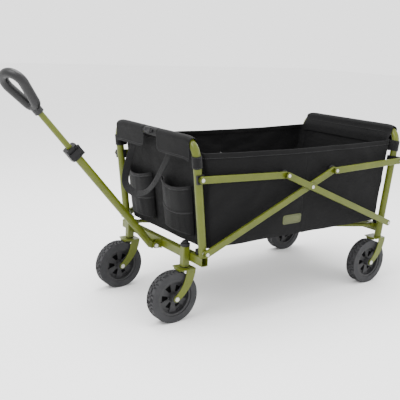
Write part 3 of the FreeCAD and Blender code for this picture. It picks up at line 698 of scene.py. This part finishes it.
def shell_plan(end, across, z):
    """Place and outward way on the shell's plan at a height, without creases."""
    wall = abs(wall_x(end, z, WALL_INWARDS) - MIDDLE)
    corner = CORNER_RADIUS
    step = across * SHELL_COLUMNS
    side = -1
    if step > SHELL_COLUMNS / 2:
        step = SHELL_COLUMNS - step
        side = 1
    if step <= SHELL_SIDE:
        share = step / SHELL_SIDE
        x = (wall - corner) * share - SHELL_OVERLAP * (1 - share)
        return Vector((MIDDLE + end * x, side * SIDE_Y, z)), Vector((0, side, 0))
    step -= SHELL_SIDE
    if step <= SHELL_CORNER:
        angle = math.pi / 2 * step / SHELL_CORNER
        out = Vector((end * math.sin(angle), side * math.cos(angle), 0))
        centre = Vector((MIDDLE + end * (wall - corner), side * (SIDE_Y - corner), z))
        return centre + out * corner, out
    step -= SHELL_CORNER
    y = side * (SIDE_Y - corner) * (1 - step / (SHELL_WALL / 2))
    return Vector((MIDDLE + end * wall, y, z)), Vector((end, 0, 0))


def shell_point(end, across, rise, stand=0.0):
    """Place on the tub's cloth, with its creases, standing out by a distance."""
    guess, out = shell_plan(end, across, RIM_HEIGHT)
    low = low_at(guess.x, guess.y)
    top = rim_at(guess.x, guess.y)
    place, out = shell_plan(end, across, low + (top - low) * rise)
    depth = creases(place)
    if abs(out.x) > 0.5:
        depth = -abs(depth) * 0.45
    return place + out * (depth + stand)


def fold_away(piece):
    """Gives a piece of the tub its own copy of its mesh."""
    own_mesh(piece)


print("shell of", SHELL_COLUMNS, "by", SHELL_ROWS, "cells")

# %% Sew the two shells of the tub
SHELL_WIDTH = 2 * HALF_LENGTH + 2 * SIDE_Y
SHELL_HEIGHT = 0.345
tub_shells = {}
for end in (FRONT, REAR):
    name = "tub_shell_" + END_NAME[end]
    shell = hang_grid(name, SHELL_COLUMNS, SHELL_ROWS, SHELL_WIDTH, SHELL_HEIGHT,
                      lambda across, rise, end=end: shell_point(end, across, rise))
    thicken(shell, CLOTH)
    finish_piece(shell, TUB_CLOTH, BODY_OF_END[end], "tub_fabric", 60)
    tub_shells[end] = shell
    print(name, "cloth area %.3f m2" % cloth_area(shell))
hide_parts("front_panel", "side_panel_left", "side_panel_right")
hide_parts("rear_panel")

# %% [markdown]
# ### The bound rim
#
# The rim is taped: a strip of doubled cloth is folded over the raw edge and
# sewn down with one row of stitches. It is a narrow grid that goes up the
# outside of the wall, over its edge and down the inside. It follows the shell's
# own function, so it lies on the cloth everywhere.

# %% Bind the rim
BINDING_DROP = 0.019
BINDING_STAND = 0.0018         # how far the tape stands off the middle of the cloth
BINDING_LOOP = 0.0016          # how far it stands over the edge
RIM_SEAM_DROP = 0.016
SEAM_STAND = 0.0006            # a row of stitches, off the cloth it is in


def binding_point(end, across, over):
    """Place on the binding: over runs from outside low, over the edge, to inside low."""
    height = SHELL_HEIGHT
    if over < 0.4:
        rise, stand = 1 - BINDING_DROP * (1 - over / 0.4) / height, BINDING_STAND
    elif over > 0.6:
        rise, stand = 1 - BINDING_DROP * (over - 0.6) / 0.4 / height, -BINDING_STAND
    else:
        angle = math.pi * (over - 0.4) / 0.2
        rise, stand = 1, BINDING_STAND * math.cos(angle)
        return shell_point(end, across, rise, stand) + Vector((0, 0, BINDING_LOOP * math.sin(angle)))
    return shell_point(end, across, rise, stand)


for end in (FRONT, REAR):
    binding = hang_grid("rim_binding_" + END_NAME[end], SHELL_COLUMNS, 10, SHELL_WIDTH, 2 * BINDING_DROP,
                        lambda across, over, end=end: binding_point(end, across, over))
    thicken(binding, 0.0009)
    finish_piece(binding, TUB_CLOTH, BODY_OF_END[end], "tub_fabric", 60)
    seams = []
    for first, last in ((0.0, 0.5), (0.5, 1.0)):
        rise = 1 - RIM_SEAM_DROP / SHELL_HEIGHT
        seams.append([(shell_point(end, across, rise, BINDING_STAND + SEAM_STAND),
                       shell_plan(end, across, RIM_HEIGHT)[1]) for across in steps(first, last, 80)])
    seam = sew("rim_seam_" + END_NAME[end], seams, BODY_OF_END[end], "tub_fabric")
    fold_away(seam)
    fold_away(binding)
    fold_away(tub_shells[end])

# %% [markdown]
# ### The floor of the tub
#
# The floor is stiffened cloth in two halves that lie on the folding arms. As
# the wagon closes, the arms lift them in the middle. Each half is a grid that
# dips a little between the arms, with a sewn edge.

# %% Lay the floor
FLOOR_HEIGHT = 0.2665
FLOOR_THICKNESS = 0.0030
FLOOR_WIDTH, FLOOR_LENGTH = 0.4976, 0.432
FLOOR_GAP = 0.0006             # half of the gap between the two halves


def floor_point(end, across, rise):
    start = abs(wall_x(end, FLOOR_HEIGHT, WALL_INWARDS + 0.0035) - MIDDLE)
    x = FLOOR_GAP + (start - FLOOR_GAP) * rise
    y = (across - 0.5) * FLOOR_WIDTH
    dip = 0.0010 * math.sin(math.pi * across) * math.sin(math.pi * rise)
    wave = 0.0005 * noise.noise(Vector((x * 14, y * 14, 7)))
    return Vector((MIDDLE + end * x, y, FLOOR_HEIGHT - dip + wave))


for end, body in ((FRONT, "front_arms"), (REAR, "rear_arms")):
    floor_half = hang_grid("tub_floor_" + END_NAME[end], 36, 30, FLOOR_WIDTH, FLOOR_LENGTH,
                           lambda across, rise, end=end: floor_point(end, across, rise))
    thicken(floor_half, FLOOR_THICKNESS)
    finish_piece(floor_half, TUB_CLOTH, body, "tub_fabric", 50)
    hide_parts("floor_" + END_NAME[end])
    on_top = Vector((0, 0, FLOOR_THICKNESS / 2 + 0.0004))
    edges = [[(floor_point(end, across, rise) + on_top, Vector((0, 0, 1))) for rise in steps(0.05, 0.95, 18)]
             for across in (0.03, 0.97)]
    edge_seam = sew("floor_seam_" + END_NAME[end], edges, body, "tub_fabric")
    print(floor_half.name, "laid on", body)

# %% [markdown]
# ## The flaps over the end bars
#
# At each end the cloth goes over the top bar and hangs down outside as a flap.
# At the front there are two flaps with a gap between them, and the lower corner
# by the gap is cut round. Such a flap is a saddle: up over the inside of the end
# wall, round the bar, and down outside. It has two rows of stitches along its
# lower edge, which hangs free and waves a little.

# %% Shape of a flap
FLAP_RADIUS = 0.0154           # middle of the flap's cloth round the bar
FLAP_CLOTH_THICKNESS = 0.0015
FLAP_DROP = 0.061
FLAP_INSIDE = 0.068            # the inner leg, down over the wall
FLAP_OUTER_Y = 0.246
FLAP_INNER_Y = 0.042
FLAP_OVER_WALL = 0.0222        # how far inwards the inner leg lies, clear of the wall
FLAP_CORNER = 0.022            # round corner by the gap
FLAP_RISE = 0.004              # the rear flap's lower edge, higher in the middle
FLAP_FOLLOW = 0.35             # how much of the bar's bend the cloth follows
FLAP_SEAM = 0.0035             # first row of stitches, from the edge
FLAP_ROWS_APART = 0.005
FLAP_OVER_BAR = FLAP_INSIDE + math.pi * FLAP_RADIUS
FLAP_PATH = FLAP_OVER_BAR + FLAP_DROP


def bar_drop(y):
    """How far the bar has bent down at a place across the wagon."""
    past = max(0.0, abs(y) - (POST_Y - BEND_RADIUS))
    return BEND_RADIUS - math.sqrt(max(0.0, BEND_RADIUS ** 2 - past ** 2))


def flap_point(end, y0, y1, round_y, across, run, stand=0.0):
    """Place on a flap: across from y0 to y1, and run from its inner edge to its free edge."""
    y = y0 + (y1 - y0) * across
    drop = FLAP_DROP
    if round_y is None:
        drop -= FLAP_RISE * (1 - abs(across - 0.5) * 2)
    elif abs(y - round_y) < FLAP_CORNER:
        drop -= FLAP_CORNER - math.sqrt(FLAP_CORNER ** 2 - (FLAP_CORNER - abs(y - round_y)) ** 2)
    distance = run * (FLAP_OVER_BAR + drop)
    follow = FLAP_FOLLOW * bar_drop(y)
    radius = FLAP_RADIUS + stand
    wave = noise.noise(Vector((y * 13, distance * 9, end + 4)))
    if distance < FLAP_INSIDE:
        below = 1 - distance / FLAP_INSIDE
        past_corner = max(0.0, abs(y) - (SIDE_Y - CORNER_RADIUS))
        round_corner = CORNER_RADIUS - math.sqrt(CORNER_RADIUS ** 2 - past_corner ** 2)
        over_wall = (FLAP_OVER_WALL - FLAP_RADIUS + round_corner) * ease(1.6 * below)
        inwards, height = radius + over_wall, BAR_HEIGHT - (FLAP_INSIDE - distance)
    elif distance < FLAP_OVER_BAR:
        angle = (distance - FLAP_INSIDE) / FLAP_RADIUS
        inwards, height = radius * math.cos(angle), BAR_HEIGHT + radius * math.sin(angle)
    else:
        down = distance - FLAP_OVER_BAR
        free = down / FLAP_DROP
        lift = 0.0035 * free * free + 0.0016 * free * (1 + wave)
        inwards, height = -radius - lift, BAR_HEIGHT - down
    return on_frame(end, inwards, y, height - follow + 0.0006 * wave)


def make_flap(name, end, y0, y1, round_y, node):
    width = abs(y1 - y0)
    flap = hang_grid(name, max(16, int(width / 0.008)), 40, width, FLAP_PATH,
                     lambda across, run: flap_point(end, y0, y1, round_y, across, run))
    thicken(flap, FLAP_CLOTH_THICKNESS)
    finish_piece(flap, FLAP_CLOTH, BODY_OF_END[end], "flap_fabric", 50)
    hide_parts(node)

    def stitched(across, run):
        stand = FLAP_CLOTH_THICKNESS / 2 + 0.0003
        return flap_point(end, y0, y1, round_y, across, run, stand), outward(end)

    lines = [[stitched(across, 1 - inset / FLAP_PATH) for across in steps(1 / 60, 59 / 60, 58)]
             for inset in (FLAP_SEAM, FLAP_SEAM + FLAP_ROWS_APART)]
    lines += [[stitched(across, run) for run in steps(FLAP_OVER_BAR / FLAP_PATH, 0.97, 15)]
              for across in (FLAP_SEAM / width, 1 - FLAP_SEAM / width)]
    seam = sew(name + "_seam", lines, BODY_OF_END[end])
    print(name, "hung")


# %% Hang the flaps
make_flap("front_flap_cloth_left", FRONT, -FLAP_OUTER_Y, -FLAP_INNER_Y, -FLAP_INNER_Y, "front_flap_left")
make_flap("front_flap_cloth_right", FRONT, FLAP_INNER_Y, FLAP_OUTER_Y, FLAP_INNER_Y, "front_flap_right")
make_flap("rear_flap_cloth", REAR, -FLAP_OUTER_Y, FLAP_OUTER_Y, None, "rear_flap")

# %% [markdown]
# ## The drink pockets
#
# Two pockets are sewn to the front wall. The lower part is solid cloth, the
# upper part is net, and the mouth is bound with elastic tape, which pulls the
# mouth in and lets it dip in the middle. In plan a pocket bulges out with soft
# sides. It narrows towards its foot, where it is gathered. So one function
# gives the bulge at any height, and cloth, net, foot and tape all use it.

# %% Shape of a pocket
POCKET_SIDES = {-1: (0.016, 0.200), 1: (0.052, 0.224)}      # inner and outer side
POCKET_LOW, POCKET_TOP, POCKET_SPLIT = 0.040, 0.218, 0.124
POCKET_DEPTH = 0.028
POCKET_WALL = 0.0138           # where a pocket meets the front wall, inwards from the posts
POCKET_FULLNESS = 0.033        # how much wider its cloth is than its place
POCKET_SAG = 0.014
CLOTH_LAP = 0.004              # cloth under the net
FOOT_HEIGHT = POCKET_LOW + 0.0012


def pocket_point(side, across, height, stand=0.0):
    """Place on a pocket's outside at a height along the posts."""
    inner_y, outer_y = POCKET_SIDES[side]
    y = inner_y + (outer_y - inner_y) * across
    share = (height - POCKET_LOW) / (POCKET_TOP - POCKET_LOW)
    bulge = math.sin(math.pi * min(1.0, max(0.0, across))) ** 0.5
    swell = 0.74 + 0.26 * math.sin(math.pi * min(1.0, share + 0.08) * 0.62)
    depth = POCKET_DEPTH * bulge * swell
    wrinkle = noise.noise(Vector((y * 38, height * 12, side * 3))) * 0.0016 * bulge
    gather = noise.noise(Vector((y * 90, height * 6, side * 5))) * 0.0012 * bulge * (1 - share)
    sag = POCKET_SAG * math.sin(math.pi * across) * ease((share - 0.25) / 0.3)
    inwards = POCKET_WALL - max(0.0008, depth + wrinkle + gather) - stand
    return on_frame(FRONT, inwards, side * y, height - sag)


def foot_point(side, across, share):
    """Place on a pocket's foot, from its outside to the wall."""
    inner_y, outer_y = POCKET_SIDES[side]
    wall = on_frame(FRONT, POCKET_WALL, side * (inner_y + (outer_y - inner_y) * across), FOOT_HEIGHT)
    return pocket_point(side, across, FOOT_HEIGHT).lerp(wall, share * 0.96)


def make_pocket(side):
    """Cloth, net, foot and elastic of one pocket, and its seams."""
    inner_y, outer_y = POCKET_SIDES[side]
    width = outer_y - inner_y + POCKET_FULLNESS
    cloth_tall = POCKET_SPLIT - POCKET_LOW
    net_tall = POCKET_TOP - POCKET_SPLIT
    layers = (                 # name, columns, rows, length, thickness, finish, slot, place
        ("cloth", 30, 12, cloth_tall, 0.0016, FLAP_CLOTH, "pocket_fabric",
         lambda a, r: pocket_point(side, a, POCKET_LOW + (cloth_tall + CLOTH_LAP) * r)),
        ("net", 30, 12, net_tall, 0.0012, NET, "pocket_fabric",
         lambda a, r: pocket_point(side, a, POCKET_SPLIT + net_tall * r, -0.0011)),
        ("foot", 30, 6, POCKET_DEPTH, 0.0016, FLAP_CLOTH, "pocket_fabric",
         lambda a, r: foot_point(side, a, r)),
        ("elastic", 40, 6, 0.016, 0.0018, WEBBING, "webbing",
         lambda a, r: pocket_point(side, a, POCKET_TOP - 0.012 + 0.0135 * r,
                                   0.0010 + 0.0006 * math.sin(math.pi * r))),
        ("band", 40, 4, 0.010, 0.0012, WEBBING, "webbing",
         lambda a, r: pocket_point(side, a, POCKET_SPLIT - 0.004 + 0.009 * r, 0.0010)))
    made = {}
    for name, columns, rows, length, thickness, finish, slot, place in layers:
        piece = hang_grid("pocket_%s_%s" % (name, HAND[side]), columns, rows, width, length, place)
        thicken(piece, thickness)
        made[name] = finish_piece(piece, finish, "front_frame", slot, 60)
    rows_of_stitches = ((POCKET_TOP - 0.008, 0.0028), (POCKET_SPLIT - 0.001, 0.0020),
                        (POCKET_LOW + 0.005, 0.0012))
    lines = [[(pocket_point(side, across, height, stand), outward(FRONT)) for across in steps(0.04, 0.96, 40)]
             for height, stand in rows_of_stitches]
    sew("pocket_seam_" + HAND[side], lines, "front_frame", "pocket_fabric")
    print("pocket", HAND[side], "sewn")
    return made["cloth"]


pocket_left = make_pocket(-1)
make_pocket(1)
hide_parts("front_pockets")

# %% [markdown]
# ## Webbing on the front
#
# A carrying strap hangs in front of the end wall, sewn in under the two flaps.
# It is stiff webbing, so it hangs in one open loop that leans forward, and its
# flat side faces along the loop. The strap's middle line is a short list of
# given places joined by a smooth curve. A grid is laid along that
# curve and made as wide as the webbing.

# %% Hang the carrying strap
STRAP_WIDTH = 0.027
STRAP_THICKNESS = 0.0022
STRAP_LENGTH = 0.62
STRAP_WAY = [                  # inwards from the posts, across, height along the posts
    (-0.006, 0.126, 0.336), (-0.016, 0.131, 0.306), (-0.034, 0.134, 0.262), (-0.052, 0.133, 0.218),
    (-0.066, 0.118, 0.182), (-0.071, 0.078, 0.163), (-0.067, 0.030, 0.158), (-0.056, -0.018, 0.176),
    (-0.043, -0.056, 0.214), (-0.028, -0.084, 0.262), (-0.013, -0.104, 0.306), (-0.006, -0.112, 0.336)]
STRAP_WIDTH_WAYS = [           # share of the strap's length, and which way its width runs there
    (0.0, (0.10, -0.99, 0.0)), (0.22, (0.81, -0.586, 0.0)), (0.5, (0.70, 0.0, 0.71)),
    (0.8, (0.10, 0.74, 0.67)), (1.0, (0.0, 0.74, 0.67))]
strap_line = [Vector(point) for point in STRAP_WAY]


def curve_through(points, share):
    """Smooth curve through a list of points, share from 0 to 1."""
    last = len(points) - 1
    position = min(share * last, last - 1e-6)
    index = int(position)
    t = position - index
    before = points[max(index - 1, 0)]
    start = points[index]
    end = points[index + 1]
    after = points[min(index + 2, last)]
    return 0.5 * (2 * start + (end - before) * t + (2 * before - 5 * start + 4 * end - after) * t * t
                  + (3 * start - before - 3 * end + after) * t ** 3)


def strap_point(across, along):
    middle = curve_through(strap_line, along)
    tangent = (curve_through(strap_line, min(1.0, along + 0.01))
               - curve_through(strap_line, max(0.0, along - 0.01))).normalized()
    way = Vector(STRAP_WIDTH_WAYS[-1][1])
    for (low, first), (high, last) in zip(STRAP_WIDTH_WAYS, STRAP_WIDTH_WAYS[1:]):
        if low <= along <= high:
            way = Vector(first).lerp(Vector(last), ease((along - low) / (high - low)))
            break
    way = (way - tangent * way.dot(tangent)).normalized()
    place = middle + way * (across - 0.5) * STRAP_WIDTH
    return on_frame(FRONT, place.x, place.y, place.z)


strap = hang_grid("carrying_strap", 6, 90, STRAP_WIDTH, STRAP_LENGTH, strap_point)
thicken(strap, STRAP_THICKNESS)
finish_piece(strap, WEBBING, "front_frame", "webbing", 50)
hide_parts("front_strap")
print("strap cloth area %.4f m2" % cloth_area(strap))

# %% [markdown]
# ### The buckle in the gap between the flaps
#
# A clip holds the wagon shut when it is folded. Its loop of webbing goes round
# the top bar in the gap between the flaps. The clip itself is a small moulded
# body, pressed in on its face, with a tab on each side.

# %% Model the buckle
BUCKLE_WEB_WIDTH = 0.083
BUCKLE_WEB_RADIUS = 0.0152
BUCKLE_WEB_LENGTH = 0.098
BUCKLE_TIP = math.radians(22)
BUCKLE_SIZE = (0.009, 0.040, 0.019)
BUCKLE_TAB_SIZE = (0.0065, 0.010, 0.012)


def buckle_web_point(across, run):
    angle = 2 * math.pi * run
    radius = BUCKLE_WEB_RADIUS + 0.0003 * noise.noise(Vector((across * 6, run * 5, 2)))
    return on_frame(FRONT, radius * math.cos(angle), (across - 0.5) * BUCKLE_WEB_WIDTH,
                    BAR_HEIGHT + radius * math.sin(angle))


buckle_web = hang_grid("buckle_loop", 12, 40, BUCKLE_WEB_WIDTH, BUCKLE_WEB_LENGTH, buckle_web_point)
select_only(buckle_web)
bpy.ops.object.mode_set(mode="EDIT")
bpy.ops.mesh.select_all(action="SELECT")
bpy.ops.mesh.remove_doubles(threshold=0.0001)
bpy.ops.mesh.normals_make_consistent(inside=False)
bpy.ops.object.mode_set(mode="OBJECT")
thicken(buckle_web, 0.0012, 0)
finish_piece(buckle_web, WEBBING, "front_frame", "webbing", 50)


def lean_on(piece, end, inwards, y, height, tip):
    """Stands a centred piece on an end frame, leaning with it and tipped back."""
    turn = Matrix.Rotation(end * LEAN + tip, 4, "Y")
    piece.matrix_world = Matrix.Translation(on_frame(end, inwards, y, height)) @ turn
    select_only(piece)
    bpy.ops.object.transform_apply(location=True, rotation=True, scale=True)


buckle = block("buckle_body", BUCKLE_SIZE, 0.0028)
recess(buckle, (-1, 0, 0), 0.0035, 0.0012)
lean_on(buckle, FRONT, -0.0208, 0.0, BAR_HEIGHT + 0.0085, BUCKLE_TIP)
finish_piece(buckle, BLACK_NYLON, "front_frame", "black_plastic")
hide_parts("flap_buckle")
for side in (-1, 1):
    tab = block("buckle_tab_" + HAND[side], BUCKLE_TAB_SIZE, 0.0022)
    lean_on(tab, FRONT, -0.0204, side * 0.0225, BAR_HEIGHT + 0.0083, BUCKLE_TIP)
    finish_piece(tab, BLACK_NYLON, "front_frame", "black_plastic")
print("buckle", buckle.name)

# %% [markdown]
# ### Collars that tie the tub to its posts
#
# Near the top of each post a band of webbing goes round the tube and is sewn to
# the corner of the tub. Seen from above it is a teardrop: round the post and
# to a point at the cloth. So its outline is the two lines from that point that
# just touch a circle round the post, and the arc between them.

# %% Model the collars
COLLAR_LOW, COLLAR_TALL = 0.292, 0.042
COLLAR_RADIUS = 0.0158
COLLAR_ROUND = 0.120           # once round the teardrop
COLLAR_STRAIGHT = 0.16         # share of the outline that is one straight side
collar_foot = Vector((0.0246, 0.2466))        # where the collar meets the tub's corner


def collar_outline(share):
    """Point on the teardrop, (inwards, across), share from 0 to 1 round it."""
    centre = Vector((0.0, POST_Y))
    to_foot = collar_foot - centre
    reach = to_foot.length
    facing = math.atan2(to_foot.y, to_foot.x)
    touch = math.acos(COLLAR_RADIUS / reach)
    straight = COLLAR_STRAIGHT
    if share < straight or share > 1 - straight:
        sign = 1 if share < straight else -1
        near = share / straight if share < straight else (1 - share) / straight
        angle = facing + sign * touch
        edge = centre + Vector((math.cos(angle), math.sin(angle))) * COLLAR_RADIUS
        return collar_foot.lerp(edge, near)
    turn = touch + (share - straight) / (1 - 2 * straight) * (2 * math.pi - 2 * touch)
    return centre + Vector((math.cos(facing + turn), math.sin(facing + turn))) * COLLAR_RADIUS


def make_collar(end, side):
    name = "collar_%s_%s" % (END_NAME[end], HAND[side])

    def place(share, rise):
        point = collar_outline(share)
        pucker = 0.0005 * noise.noise(Vector((share * 9, rise * 3, side + end * 3)))
        return on_frame(end, point.x * (1 + pucker), side * point.y,
                        COLLAR_LOW + COLLAR_TALL * rise + 0.0008 * math.sin(share * 12))

    collar = hang_grid(name, 44, 8, COLLAR_ROUND, COLLAR_TALL, place)
    thicken(collar, 0.0019)
    finish_piece(collar, WEBBING, BODY_OF_END[end], "webbing", 50)

    def stitched(share, rise):
        point = collar_outline(share)
        away = Vector((point.x, point.y - POST_Y)).normalized()
        out = (outward(end) * -away.x + Vector((0, side * away.y, 0))).normalized()
        return place(share, rise) + out * 0.0011, out

    lines = [[stitched(share, rise) for share in steps(0.2, 0.8, 24)] for rise in (0.1, 0.9)]
    sew(name + "_seam", lines, BODY_OF_END[end], "webbing")
    return collar


for end in (FRONT, REAR):
    made = [make_collar(end, side) for side in (-1, 1)]
    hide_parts("%s_post_collars" % END_NAME[end])
print("collars sewn")

# %% [markdown]
# ### Corner stops and joint discs
#
# Small moulded blocks sit on the crossbars beside the posts and keep the tub's
# lower corners down. Behind each upper joint of the side linkage there is a
# black disc, wider than the link, that keeps the link off the cloth.

# %% Model the stops and the discs
STOP_SIZE = (0.015, 0.017, 0.020)
STOP_X, STOP_Y, STOP_HEIGHT = 0.4520, 0.2330, 0.2525
for end in (FRONT, REAR):
    for side in (-1, 1):
        stop = block("corner_stop_%s_%s" % (END_NAME[end], HAND[side]), STOP_SIZE, 0.003)
        recess(stop, (0, 0, 1), 0.003, 0.0015)
        stop.location = (MIDDLE + end * STOP_X, side * STOP_Y, STOP_HEIGHT)
        finish_piece(stop, BLACK_NYLON, BODY_OF_END[end], "black_plastic")

link_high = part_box("long_link_front_left")[1]
LINK_HALF = 0.012
JOINT_X = link_high[0] - LINK_HALF - MIDDLE
JOINT_Z = link_high[2] - LINK_HALF
DISC_RADIUS, DISC_THICKNESS = 0.0165, 0.0055
BOSS_INSET, BOSS_HEIGHT = 0.006, 0.0012
print("upper joints %.4f m from the middle, %.4f m high" % (JOINT_X, JOINT_Z))


def joint_disc(name, end, side, body):
    """Disc with a raised boss, behind a link's end."""
    disc = cylinder(name, 40, DISC_RADIUS, DISC_THICKNESS)
    recess(disc, (0, -1, 0), BOSS_INSET, -BOSS_HEIGHT)
    recess(disc, (0, 1, 0), BOSS_INSET, -BOSS_HEIGHT)
    apply_modifier(disc, "BEVEL", width=0.0012, segments=2, limit_method="ANGLE")
    disc.location = (MIDDLE + end * JOINT_X, side * (LINK_INNER_Y - 0.0045), JOINT_Z)
    finish_piece(disc, BLACK_NYLON, body, "black_plastic")


for side, hand in HAND.items():
    joint_disc("joint_disc_front_" + hand, FRONT, side, "upper_links_front")
    joint_disc("joint_disc_rear_" + hand, REAR, side, "long_links_front")
print("discs placed")

# %% [markdown]
# ## The blank label
#
# The side of the tub carries a woven label. It is left blank here: a rounded
# patch of olive tape with a sewn border. It is a small grid that lies on the
# tub's own function, so it follows the creases.

# %% Sew on the label
LABEL_WIDTH, LABEL_TALL = 0.092, 0.036
LABEL_HEIGHT = 0.325
LABEL_X = -0.052               # from the middle of the side


def label_finish():
    material, tree, shader = start_finish("olive_label", 0.7, 0.4)
    shader.inputs["Sheen Weight"].default_value = 0.2
    where = coordinates(tree, "UV")
    weave = product(tree, bands(tree, where, "X", 0.0009), bands(tree, where, "Y", 0.0009))
    colour = ramp(tree, weave, [(0.0, (0.042, 0.050, 0.010)), (1.0, (0.085, 0.098, 0.020))])
    connect(tree, shader, colour, bump(tree, weave, 0.0003, 0.5))
    return material


LABEL = label_finish()


def side_cloth_point(side, x, z, stand):
    """Place on the side cloth at an x and a height, standing out by a distance."""
    place = Vector((x, side * SIDE_Y, z))
    return place + Vector((0, side * (creases(place) + stand), 0))


def label_point(side, across, rise):
    """Place on the label, which is a rectangle with rounded corners."""
    u, v = 2 * across - 1, 2 * rise - 1
    x = MIDDLE + LABEL_X + u * math.sqrt(1 - 0.18 * v ** 8) * LABEL_WIDTH / 2
    z = LABEL_HEIGHT + v * math.sqrt(1 - 0.18 * u ** 8) * LABEL_TALL / 2
    return side_cloth_point(side, x, z, CLOTH / 2 + 0.0007)


def rounded(wave):
    """Sine or cosine pushed outwards, so that a circle becomes a rounded rectangle."""
    return math.copysign(abs(wave) ** 0.35, wave)


for side, hand in HAND.items():
    label = hang_grid("side_label_" + hand, 28, 12, LABEL_WIDTH, LABEL_TALL,
                      lambda across, rise, side=side: label_point(side, across, rise))
    thicken(label, 0.0010)
    finish_piece(label, LABEL, "front_frame", "webbing", 50)
    border = []
    for angle in steps(0, 2 * math.pi, 96):
        x = MIDDLE + LABEL_X + rounded(math.cos(angle)) * LABEL_WIDTH * 0.44
        z = LABEL_HEIGHT + rounded(math.sin(angle)) * LABEL_TALL * 0.38
        border.append((side_cloth_point(side, x, z, CLOTH / 2 + 0.0016), Vector((0, side, 0))))
    label_seam = sew("side_label_seam_" + hand, [border], "front_frame", "webbing")
    fold_away(label)
    fold_away(label_seam)

# %% [markdown]
# ## The tyres
#
# The tyres are solid foam with small blocks of tread. A tyre is a short
# cylinder whose ends are inset and joined into a ring. Its shoulders are
# bevelled, straight cuts divide the tread into rows, and every second cell is
# inset and pressed in. It is modelled once, lying across the wagon at the
# origin, and copied to the middle of each wheel.

# %% Model one tyre
TYRE_RADIUS, TYRE_WIDTH, TYRE_INNER = 0.090, 0.040, 0.0662
TYRE_SHOULDER = 0.0085
TREAD_STEPS = 84
TREAD_DEPTH = 0.0036
TREAD_MIDDLE = 0.0042          # half of the middle row's width


def model_tyre():
    tyre = cylinder("tyre_pattern", TREAD_STEPS, TYRE_RADIUS, TYRE_WIDTH)
    bpy.ops.object.mode_set(mode="EDIT")
    work = bmesh.from_edit_mesh(tyre.data)
    for face in work.faces:
        face.select = abs(face.normal.y) > 0.9
    bmesh.update_edit_mesh(tyre.data)
    bpy.ops.mesh.inset(thickness=TYRE_RADIUS - TYRE_INNER)
    bpy.ops.mesh.bridge_edge_loops()
    work = bmesh.from_edit_mesh(tyre.data)
    for edge in work.edges:
        radii = [math.hypot(v.co.x, v.co.z) for v in edge.verts]
        same_side = edge.verts[0].co.y * edge.verts[1].co.y > 0
        edge.select = min(radii) > TYRE_RADIUS * 0.99 and same_side
    bmesh.update_edit_mesh(tyre.data)
    bpy.ops.mesh.bevel(offset=TYRE_SHOULDER, segments=3)
    for cut in (-TREAD_MIDDLE, TREAD_MIDDLE):
        bpy.ops.mesh.select_all(action="SELECT")
        bpy.ops.mesh.bisect(plane_co=(0, cut, 0), plane_no=(0, 1, 0))
    work = bmesh.from_edit_mesh(tyre.data)
    for face in work.faces:
        middle = face.calc_center_median()
        radius = math.hypot(middle.x, middle.z)
        cell = int((math.atan2(middle.z, middle.x) / (2 * math.pi) + 1) * TREAD_STEPS + 0.5)
        row = 1 if abs(middle.y) < TREAD_MIDDLE else 0
        shoulder = radius > TYRE_RADIUS * 0.945
        face.select = shoulder and (cell + row) % 2 == 0
    bmesh.update_edit_mesh(tyre.data)
    bpy.ops.mesh.inset(thickness=0.0011, use_individual=True, depth=-TREAD_DEPTH)
    bpy.ops.mesh.select_all(action="SELECT")
    bpy.ops.mesh.normals_make_consistent(inside=False)
    bpy.ops.object.mode_set(mode="OBJECT")
    return tyre


tyre_pattern = model_tyre()
print("tyre of", len(tyre_pattern.data.polygons), "faces")

# %% Copy the tyre to each wheel
CORNERS = ("front_left", "front_right", "rear_left", "rear_right")


def copy_to_wheels(pattern, prefix, finish, slot):
    """Copies a pattern to the middle of each wheel, and removes it."""
    made = {}
    for corner in CORNERS:
        low, high = [Vector(c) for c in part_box("tyre_" + corner)]
        piece = bpy.data.objects.new(prefix + corner, pattern.data.copy())
        bpy.context.scene.collection.objects.link(piece)
        piece.location = (low + high) / 2
        made[corner] = finish_piece(piece, finish, "wheel_" + corner, slot, 35)
    bpy.data.objects.remove(pattern)
    return made


for corner, tyre in copy_to_wheels(tyre_pattern, "foam_tyre_", TYRE_FOAM, "tyre_foam").items():
    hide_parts("tyre_" + corner)
print("four tyres on")

# %% [markdown]
# ### The web behind the spokes, in painted shade
#
# Between its spokes each hub is closed by a thin web that lies deep in shade.
# It gets its own disc with a raised rib near the rim, coloured near-black as
# painted shade, darker than the hub's plastic, so the spokes stand out from it.

# %% Model the webs
WEB_RADIUS, WEB_HALF = 0.0562, 0.0019
painted_shade_web_pattern = cylinder("painted_shade_web_pattern", 64, WEB_RADIUS, 2 * WEB_HALF)
for way in (-1, 1):
    recess(painted_shade_web_pattern, (0, way, 0), 0.004, 0.0008)
    recess(painted_shade_web_pattern, (0, way, 0), 0.012, -0.0005)
copy_to_wheels(painted_shade_web_pattern, "hub_web_painted_shade_", WEB_PAINTED_SHADE, "hub_plastic")
print("four webs in")
